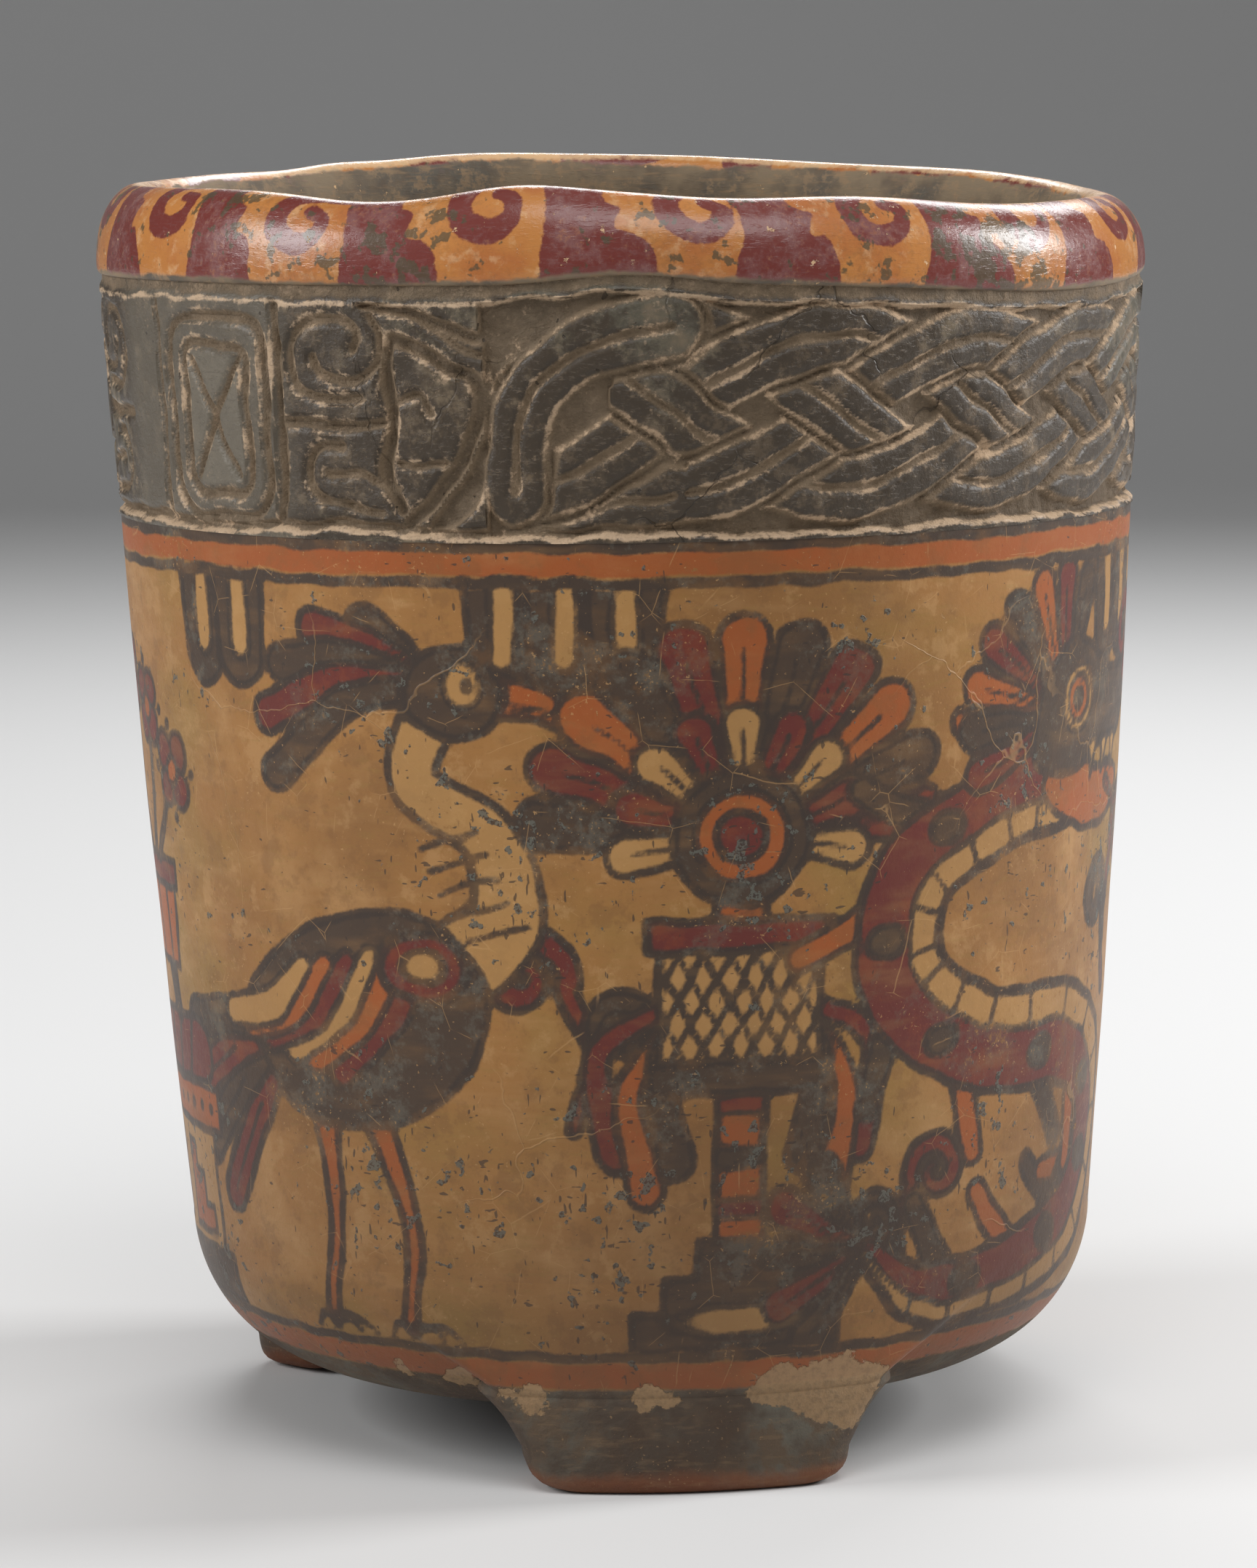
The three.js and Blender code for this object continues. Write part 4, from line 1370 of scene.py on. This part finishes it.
def rim_slip(settings, slip):
    """Glossy orange slip with maroon blocks and hooks, rubbed through along the crest, and painted shade
    under the lip.
    """
    f = Finish("rim_slip")
    along = f.attribute("along")
    cloud = f.noise(30, 31, detail=2)
    patch = f.noise(9, 32, detail=4, rough=0.6)
    mottle = f.noise(2.6, 33, detail=4, rough=0.65)
    grain = f.noise(0.7, 34, detail=4, rough=0.7)
    wobble = (mottle - 0.5) * 1.2 + (grain - 0.5) * 0.6
    painted = (f.attribute("block") + wobble).falls(-0.18, 0.18)
    thin = painted * (1 - (patch * 0.5 + grain * 0.6).rises(0.6, 0.8) * 0.6)
    film = ((patch - 0.5) * 1.3 + (mottle - 0.5) * 0.8 + (grain - 0.5) * 0.5).rises(-0.02, 0.26)
    spots = (f.noise(2.6, 35, detail=3, rough=0.6) + (cloud - 0.5) * 0.7).rises(0.62, 0.67)
    crest = abs(along - CREST_LINE).falls(0.5, 2.6) + (mottle - 0.5) * 1.5 + (cloud - 0.5) * 1.6
    # Painted shade of the undercut: the flare's foot under the lip takes the inner slip's dark colour
    low = (along - UNDERLIP_SHADE_END + (mottle - 0.5) * 1.4 + (cloud - 0.5) * 2.5).falls(-0.25, 0.35)
    inner = (along + (patch - 0.5) * 3 + (mottle - 0.5) * 2).rises(*INNER_EDGE)
    chips = f.noise(2.2, 36, detail=5, rough=0.75).rises(0.655, 0.67)
    brushing = f.noise(0.9, 37, detail=3, stretch=(0.5, 0.5, 2.4)).rises(0.5, 0.75)
    colour = f.layered(
        settings.ground,
        (patch.rises(0.42, 0.7) * 0.6, settings.ground_deep),
        (mottle.rises(0.52, 0.7) * 0.4, settings.worn),
        ((grain * 0.5 + cloud * 0.5).rises(0.5, 0.64) * 0.35, slip.ground_dark),
        (thin * 0.96, f.mix(film * 0.6, settings.maroon, settings.bloom)),
        (spots * 0.8, settings.stain),
        (crest.rises(0.55, 1.05) * 0.8, settings.worn),
        (low.largest(inner), inner_slip(f, slip)),
        (chips * 0.8, settings.worn),
        (brushing * painted * 0.25, settings.bloom),
    )
    roughness = 0.14 + grain * 0.1 + low * 0.35 + inner * 0.5 + chips * 0.3 + mottle * 0.14
    relief = grain * 0.3 + mottle * 0.5 - chips * 0.9 + brushing * 0.25
    return f.finish(colour, roughness, relief, 0.09)


# The pieces


def spaced(start, end, step):
    """Even steps from start to end, none longer than step."""
    return np.linspace(start, end, max(2, math.ceil(abs(end - start) / step) + 1))


def painted_face(turned, chosen, settings, figures=True):
    """Stores the paint of a smooth face, and where it has flaked off beside the feet."""
    face = Face(turned, FRIEZE_RADIUS, (*COVER, "flaked"), chosen)
    if figures:
        paint_frieze(face, settings.outline_width)
    else:
        for name, low, high in BORDERS:
            face.stripe(name, low, high)
    for node in FEET:
        m = face.motif(foot_turn(node) * FRIEZE_RADIUS, flip=node != "foot_front")
        for outline in FLAKES:
            m.add(m.region(outline), "flaked")
    face.save()


def add_floor(settings):
    """Dished floor with a rounded heel."""
    underside = [
        (r, UNDERSIDE_HEIGHT - UNDERSIDE_SAG * (1 - (r / UNDERSIDE_RADIUS) ** 2))
        for r in spaced(0, UNDERSIDE_RADIUS, UNDERSIDE_ROW)
    ]
    heel_size = HEEL_RADIUS - UNDERSIDE_RADIUS, HEEL_TOP - UNDERSIDE_HEIGHT
    heel = arc_points((UNDERSIDE_RADIUS, HEEL_TOP), heel_size, -90, 0, 46)
    floor_top = UNDERSIDE_HEIGHT + FLOOR_THICKNESS
    fillet = HEEL_RADIUS - WALL_THICKNESS - INNER_FILLET
    inner = arc_points((fillet, HEEL_TOP), (INNER_FILLET, HEEL_TOP - floor_top), 0, -90, 14)
    level = [(r, floor_top) for r in spaced(fillet, 0, FLOOR_ROW)]
    outside = underside[:-1] + heel
    floor = Turned("floor_disc_visual", outside + inner + level[1:], WALL_TURN, closed=False)
    outer = floor.row < len(outside)
    fade = np.clip(floor.radius / STEADY_RADIUS, 0, 1) ** 2
    stray = hand_wobble(floor.azimuth, floor.height) * fade
    stray += np.where(outer, foot_swell(floor.azimuth, floor.height), 0)
    uneven = ripple(floor.azimuth, floor.radius, seed=41, turns=5, spacing=30)
    floor.reshape(floor.radius + stray, floor.height + FLOOR_WOBBLE * uneven * (1 - fade))
    painted_face(floor, outer & (floor.height > FLOOR_LOW), settings.slip)
    floor.store("inside", (~outer).astype(float))
    floor.settle("floor_disc", painted_slip(settings.slip))


def add_wall(settings):
    """Painted course of the wall."""
    outer = [(wall_radius(z), z) for z in spaced(HEEL_TOP, BAND_BOTTOM, WALL_ROW)]
    inner = [(wall_radius(z) - WALL_THICKNESS, z) for z in spaced(BAND_BOTTOM, HEEL_TOP, INNER_WALL_ROW)]
    wall = Turned("painted_wall_visual", outer + inner, WALL_TURN)
    painted = wall.row < len(outer)
    wall.reshape(wall.radius + hand_wobble(wall.azimuth, wall.height), wall.height)
    painted_face(wall, painted, settings.slip)
    wall.store("inside", (~painted).astype(float))
    wall.settle("painted_wall", painted_slip(settings.slip))


def add_band(settings):
    """Carved course of the wall."""
    outer = [(band_radius(z), z) for z in spaced(BAND_BOTTOM, BAND_TOP, BAND_ROW)]
    inner = [(band_radius(z) - WALL_THICKNESS, z) for z in spaced(BAND_TOP, BAND_BOTTOM, INNER_BAND_ROW)]
    band = Turned("carved_band_visual", outer + inner, BAND_TURN)
    carved = band.row < len(outer)
    face = Face(band, SHOULDER_RADIUS, ("groove", "recess"), carved, wander=0.42)
    depth, cut, rubbed_highlight, slate_sheen = (np.zeros(len(carved)) for _ in range(4))
    depth[carved], cut[carved], rubbed_highlight[carved] = carve_band(face, settings.carving)
    slate_sheen[carved] = slate_sheen_share(face)
    swell = NECK_SWELL * (band.height - BAND_BOTTOM) / (BAND_TOP - BAND_BOTTOM)
    level = BAND_BOTTOM + LEVEL_COURSE
    risen = smooth_share((band.height - level) / (BAND_TOP - level))
    lifted = band.height + risen * wave(band.azimuth, NECK_WAVES)
    band.reshape(band.radius + hand_wobble(band.azimuth, band.height) + swell - depth, lifted)
    for name, values in (("cut", cut), ("rubbed_highlight", rubbed_highlight), ("slate_sheen", slate_sheen), ("inside", (~carved).astype(float))):
        band.store(name, values)
    band.settle("carved_band", carved_slip(settings.carving, settings.slip))


def rim_profile():
    """Flare, bulging lip, crest and inner side of the rolled rim."""
    lip = CREST_HEIGHT - LIP_RISE
    flare = [
        (NECK_RADIUS + (RIM_RADIUS - NECK_RADIUS) * (1 - (1 - t) ** 2), BAND_TOP + (lip - BAND_TOP) * t**2)
        for t in np.linspace(0, 1, 10)
    ]
    outer = arc_points((CREST_RADIUS, lip), (RIM_RADIUS - CREST_RADIUS, LIP_RISE), 0, 90, 18)
    inner_radius = RIM_RADIUS - RIM_THICKNESS
    neck_inner = NECK_RADIUS - WALL_THICKNESS
    inner_lip = CREST_HEIGHT - INNER_LIP_RISE
    inner = arc_points((CREST_RADIUS, inner_lip), (CREST_RADIUS - inner_radius, INNER_LIP_RISE), 90, 180, 14)
    down = [
        (inner_radius + (neck_inner - inner_radius) * t, inner_lip + (BAND_TOP - inner_lip) * t)
        for t in np.linspace(0, 1, 5)
    ]
    return flare + outer[1:] + inner[1:] + down[1:]


def add_rim(settings):
    """Rolled rim with a painted pattern."""
    rim = Turned("rim_coil_visual", rim_profile(), RIM_TURN)
    share = np.clip((rim.height - BAND_TOP) / (CREST_HEIGHT - BAND_TOP), 0, 1)
    lifted = rim.height + wave(rim.azimuth, NECK_WAVES)
    lifted += smooth_share(share) * wave(rim.azimuth, CREST_WAVES)
    dent = RIM_WOBBLE * share * ripple(rim.azimuth, rim.height, seed=51, turns=24, spacing=70)
    everywhere = np.ones(len(rim.row), bool)
    face = Face(rim, RIM_RADIUS, ("block",), everywhere, wander=0.35, upward=rim.along)
    paint_rim(face, settings.rim.repeats)
    face.save()
    rim.store("along", rim.along)
    rim.reshape(rim.radius + hand_wobble(rim.azimuth, rim.height) + dent - RIM_TUCK * share, lifted)
    rim.settle("rim_coil", rim_slip(settings.rim, settings.slip))


def foot_profile():
    """Section of a foot as inner and outer columns of points at the same heights."""
    rounding = SOLE_ROUNDING * (1 - np.cos(np.radians([0, 25, 45, 65, 90])))
    heights = np.concatenate([rounding, spaced(SOLE_ROUNDING, FOOT_BURIED, FOOT_ROW)[1:]])
    drop = np.clip(1 - heights / SOLE_ROUNDING, 0, 1)
    tuck = SOLE_ROUNDING * (1 - np.sqrt(1 - drop**2))
    outer = foot_face(heights) - tuck
    outer -= BURIED_INSET * np.clip((heights - FOOT_SHOWN) / SWELL_STARTS, 0, 1)
    inner = np.full(len(heights), SOLE_RADIUS - FOOT_THICKNESS) + tuck
    return list(zip(inner[::-1], heights[::-1])) + list(zip(outer, heights))


def add_foot(settings, node):
    """One slab foot, flared into the heel and rounded at its corners."""
    foot = Turned(node + "_visual", foot_profile(), FOOT_COLUMNS, sweep=FOOT_SWEEP)
    # From -1 to 1 across the foot, with the columns closer together at its corners
    spot = np.sin(foot.azimuth * math.pi) * CORNER_CROWDING + foot.azimuth * 2 * (1 - CORNER_CROWDING)
    half = foot_half_width(np.minimum(foot.height, FOOT_SHOWN))
    half -= BURIED_TAPER * np.maximum(foot.height - FOOT_SHOWN, 0)
    from_end = np.clip((1 - np.abs(spot)) * half / CORNER_ROUNDING, 0, 1)
    inset = CORNER_ROUNDING * (1 - np.sqrt(1 - (1 - from_end) ** 2))
    outer = foot.radius > SOLE_RADIUS - FOOT_THICKNESS / 2
    radius = foot.radius - np.where(outer, inset, -inset)
    widest = foot_half_width(np.array([FOOT_SHOWN]))[0]
    sideways = np.clip(spot * half / np.maximum(radius, widest + 1), -0.99, 0.99)
    foot.azimuth = shorter_way(np.arcsin(sideways) + foot_turn(node))
    radius += hand_wobble(foot.azimuth, foot.height)
    foot.reshape(radius, foot.height)
    painted_face(foot, np.ones(len(foot.row), bool), settings.slip, figures=False)
    foot.store("inside", np.zeros(len(foot.row)))
    foot.settle(node, painted_slip(settings.slip))


# The stage, in metres: half the backdrop's width, and where and how wide it sweeps up from the floor
BACKDROP_HALF = 6.0
BACKDROP_START = 1.7
SWEEP = 1.1

# Each lamp's place, size and share of the key power, and the point that all are turned to
LAMPS = {
    "right": ((0.97, 0.12, 0.52), (0.3, 0.4), 1.0),
    "left": ((-0.95, -0.14, 0.55), (0.35, 0.5), 0.75),
    "over": ((0.1, -0.62, 1.05), (0.9, 0.6), 0.85),
    "behind": ((0.3, 0.95, 0.8), (0.9, 0.3), 0.9),
}
LAMP_TARGET = (0, 0, 0.09)

# Strength of the plain grey world, as light and as it is seen
WORLD_LIGHT = 0.16
WORLD_SEEN = 0.5

SENSOR_WIDTH = 36
PICTURE_SHIFT = -2 / 2156


def placed(name, data):
    """An object for a mesh, lamp or camera, linked to the scene."""
    made = bpy.data.objects.new(name, data)
    bpy.context.scene.collection.objects.link(made)
    return made


def add_backdrop(stage):
    """Pale floor that sweeps up into a wall behind."""
    made = bmesh.new()
    run = [(-BACKDROP_HALF, 0), (BACKDROP_START, 0)]
    run += arc_points((BACKDROP_START, SWEEP), (SWEEP, SWEEP), -90, 0, 24)[1:]
    run.append((BACKDROP_START + SWEEP, BACKDROP_HALF))
    line = [made.verts.new((-BACKDROP_HALF, y, z)) for y, z in run]
    edges = [made.edges.new(pair) for pair in zip(line, line[1:])]
    sheet = bmesh.ops.extrude_edge_only(made, edges=edges)["geom"]
    moved = [part for part in sheet if isinstance(part, bmesh.types.BMVert)]
    bmesh.ops.translate(made, verts=moved, vec=(2 * BACKDROP_HALF, 0, 0))
    bmesh.ops.recalc_face_normals(made, faces=made.faces)
    mesh = bpy.data.meshes.new("stage_floor")
    made.to_mesh(mesh)
    made.free()
    paper = bpy.data.materials.new("stage_floor")
    nodes = Nodes(paper)
    nodes.feed(nodes.tree.nodes["Principled BSDF"], {"Base Color": stage.floor, "Roughness": 0.9})
    mesh.materials.append(paper)
    mesh.shade_smooth()
    placed("stage_floor", mesh)


def add_lamps(stage):
    """Soft lamps, and a world that lights less than it shows."""
    for name, (place, size, share) in LAMPS.items():
        lamp = bpy.data.lights.new(name, "AREA")
        lamp.shape, lamp.size, lamp.size_y, lamp.energy = "RECTANGLE", *size, stage.key_power * share
        holder = placed(name, lamp)
        holder.location = place
        holder.rotation_euler = (Vector(LAMP_TARGET) - Vector(place)).to_track_quat("-Z", "Y").to_euler()
    world = bpy.data.worlds.new("studio")
    nodes = Nodes(world)
    seen = nodes.node("ShaderNodeLightPath", output="Is Camera Ray")
    seen = seen.largest(nodes.node("ShaderNodeLightPath", output="Is Glossy Ray"))
    strength = nodes.node(
        "ShaderNodeMapRange", inputs={"Value": seen, "To Min": WORLD_LIGHT, "To Max": WORLD_SEEN}
    )
    nodes.feed(nodes.tree.nodes["Background"], {"Color": (1, 1, 1), "Strength": strength})
    bpy.context.scene.world = world
    bpy.context.scene.view_settings.view_transform = "Standard"


def add_camera(stage):
    """The camera at the photograph's viewing angle."""
    camera = bpy.data.cameras.new("camera")
    camera.lens, camera.sensor_width = stage.lens, SENSOR_WIDTH
    camera.shift_x = PICTURE_SHIFT
    camera.clip_start = 0.05
    holder = placed("camera", camera)
    turn, away = stage.camera_azimuth, stage.camera_distance
    holder.matrix_world = (
        Matrix.Translation((away * math.sin(turn), -away * math.cos(turn), stage.camera_height))
        @ Matrix.Rotation(turn, 4, "Z")
        @ Matrix.Rotation(math.radians(90) - stage.camera_pitch, 4, "X")
        @ Matrix.Rotation(stage.camera_roll, 4, "Z")
    )
    bpy.context.scene.camera = holder


# Operators and panel


class VESSEL_OT_floor(bpy.types.Operator):
    """Add the dished floor with its painted heel"""

    bl_idname = "vessel.floor"
    bl_label = "Floor"

    def execute(self, context):
        add_floor(context.scene.vessel)
        return {"FINISHED"}


class VESSEL_OT_wall(bpy.types.Operator):
    """Add the painted course of the wall"""

    bl_idname = "vessel.wall"
    bl_label = "Painted wall"

    def execute(self, context):
        add_wall(context.scene.vessel)
        return {"FINISHED"}


class VESSEL_OT_band(bpy.types.Operator):
    """Add the carved course of the wall"""

    bl_idname = "vessel.band"
    bl_label = "Carved band"

    def execute(self, context):
        add_band(context.scene.vessel)
        return {"FINISHED"}


class VESSEL_OT_rim(bpy.types.Operator):
    """Add the rolled rim"""

    bl_idname = "vessel.rim"
    bl_label = "Rim"

    def execute(self, context):
        add_rim(context.scene.vessel)
        return {"FINISHED"}


class VESSEL_OT_feet(bpy.types.Operator):
    """Add the three slab feet"""

    bl_idname = "vessel.feet"
    bl_label = "Feet"

    def execute(self, context):
        for node in FEET:
            add_foot(context.scene.vessel, node)
        return {"FINISHED"}


class VESSEL_OT_stage(bpy.types.Operator):
    """Add the backdrop, the lamps and the camera"""

    bl_idname = "vessel.stage"
    bl_label = "Stage"

    def execute(self, context):
        for add in (add_backdrop, add_lamps, add_camera):
            add(context.scene.vessel.stage)
        return {"FINISHED"}


OPERATORS = (
    VESSEL_OT_stage, VESSEL_OT_floor, VESSEL_OT_wall, VESSEL_OT_band, VESSEL_OT_rim, VESSEL_OT_feet,
)


class VESSEL_PT_panel(bpy.types.Panel):
    """Sizes, colours and pieces of the vessel"""

    bl_idname = "VESSEL_PT_panel"
    bl_label = "Vessel"
    bl_space_type = "VIEW_3D"
    bl_region_type = "UI"
    bl_category = "Vessel"

    def draw(self, context):
        for operator in OPERATORS:
            self.layout.operator(operator.bl_idname)
        for group in ("slip", "carving", "rim", "stage"):
            settings = getattr(context.scene.vessel, group)
            box = self.layout.box()
            box.label(text=group.capitalize())
            for name in settings.__annotations__:
                box.prop(settings, name)


SETTINGS = (SlipSettings, CarvingSettings, RimSettings, StageSettings, VesselSettings)


def register():
    for made in (*SETTINGS, *OPERATORS, VESSEL_PT_panel):
        bpy.utils.register_class(made)
    bpy.types.Scene.vessel = PointerProperty(type=VesselSettings)


def unregister():
    del bpy.types.Scene.vessel
    for made in reversed((*SETTINGS, *OPERATORS, VESSEL_PT_panel)):
        bpy.utils.unregister_class(made)


def main():
    register()
    for operator in OPERATORS:
        getattr(bpy.ops.vessel, operator.bl_idname.split(".")[1])()


if __name__ == "__main__":
    main()
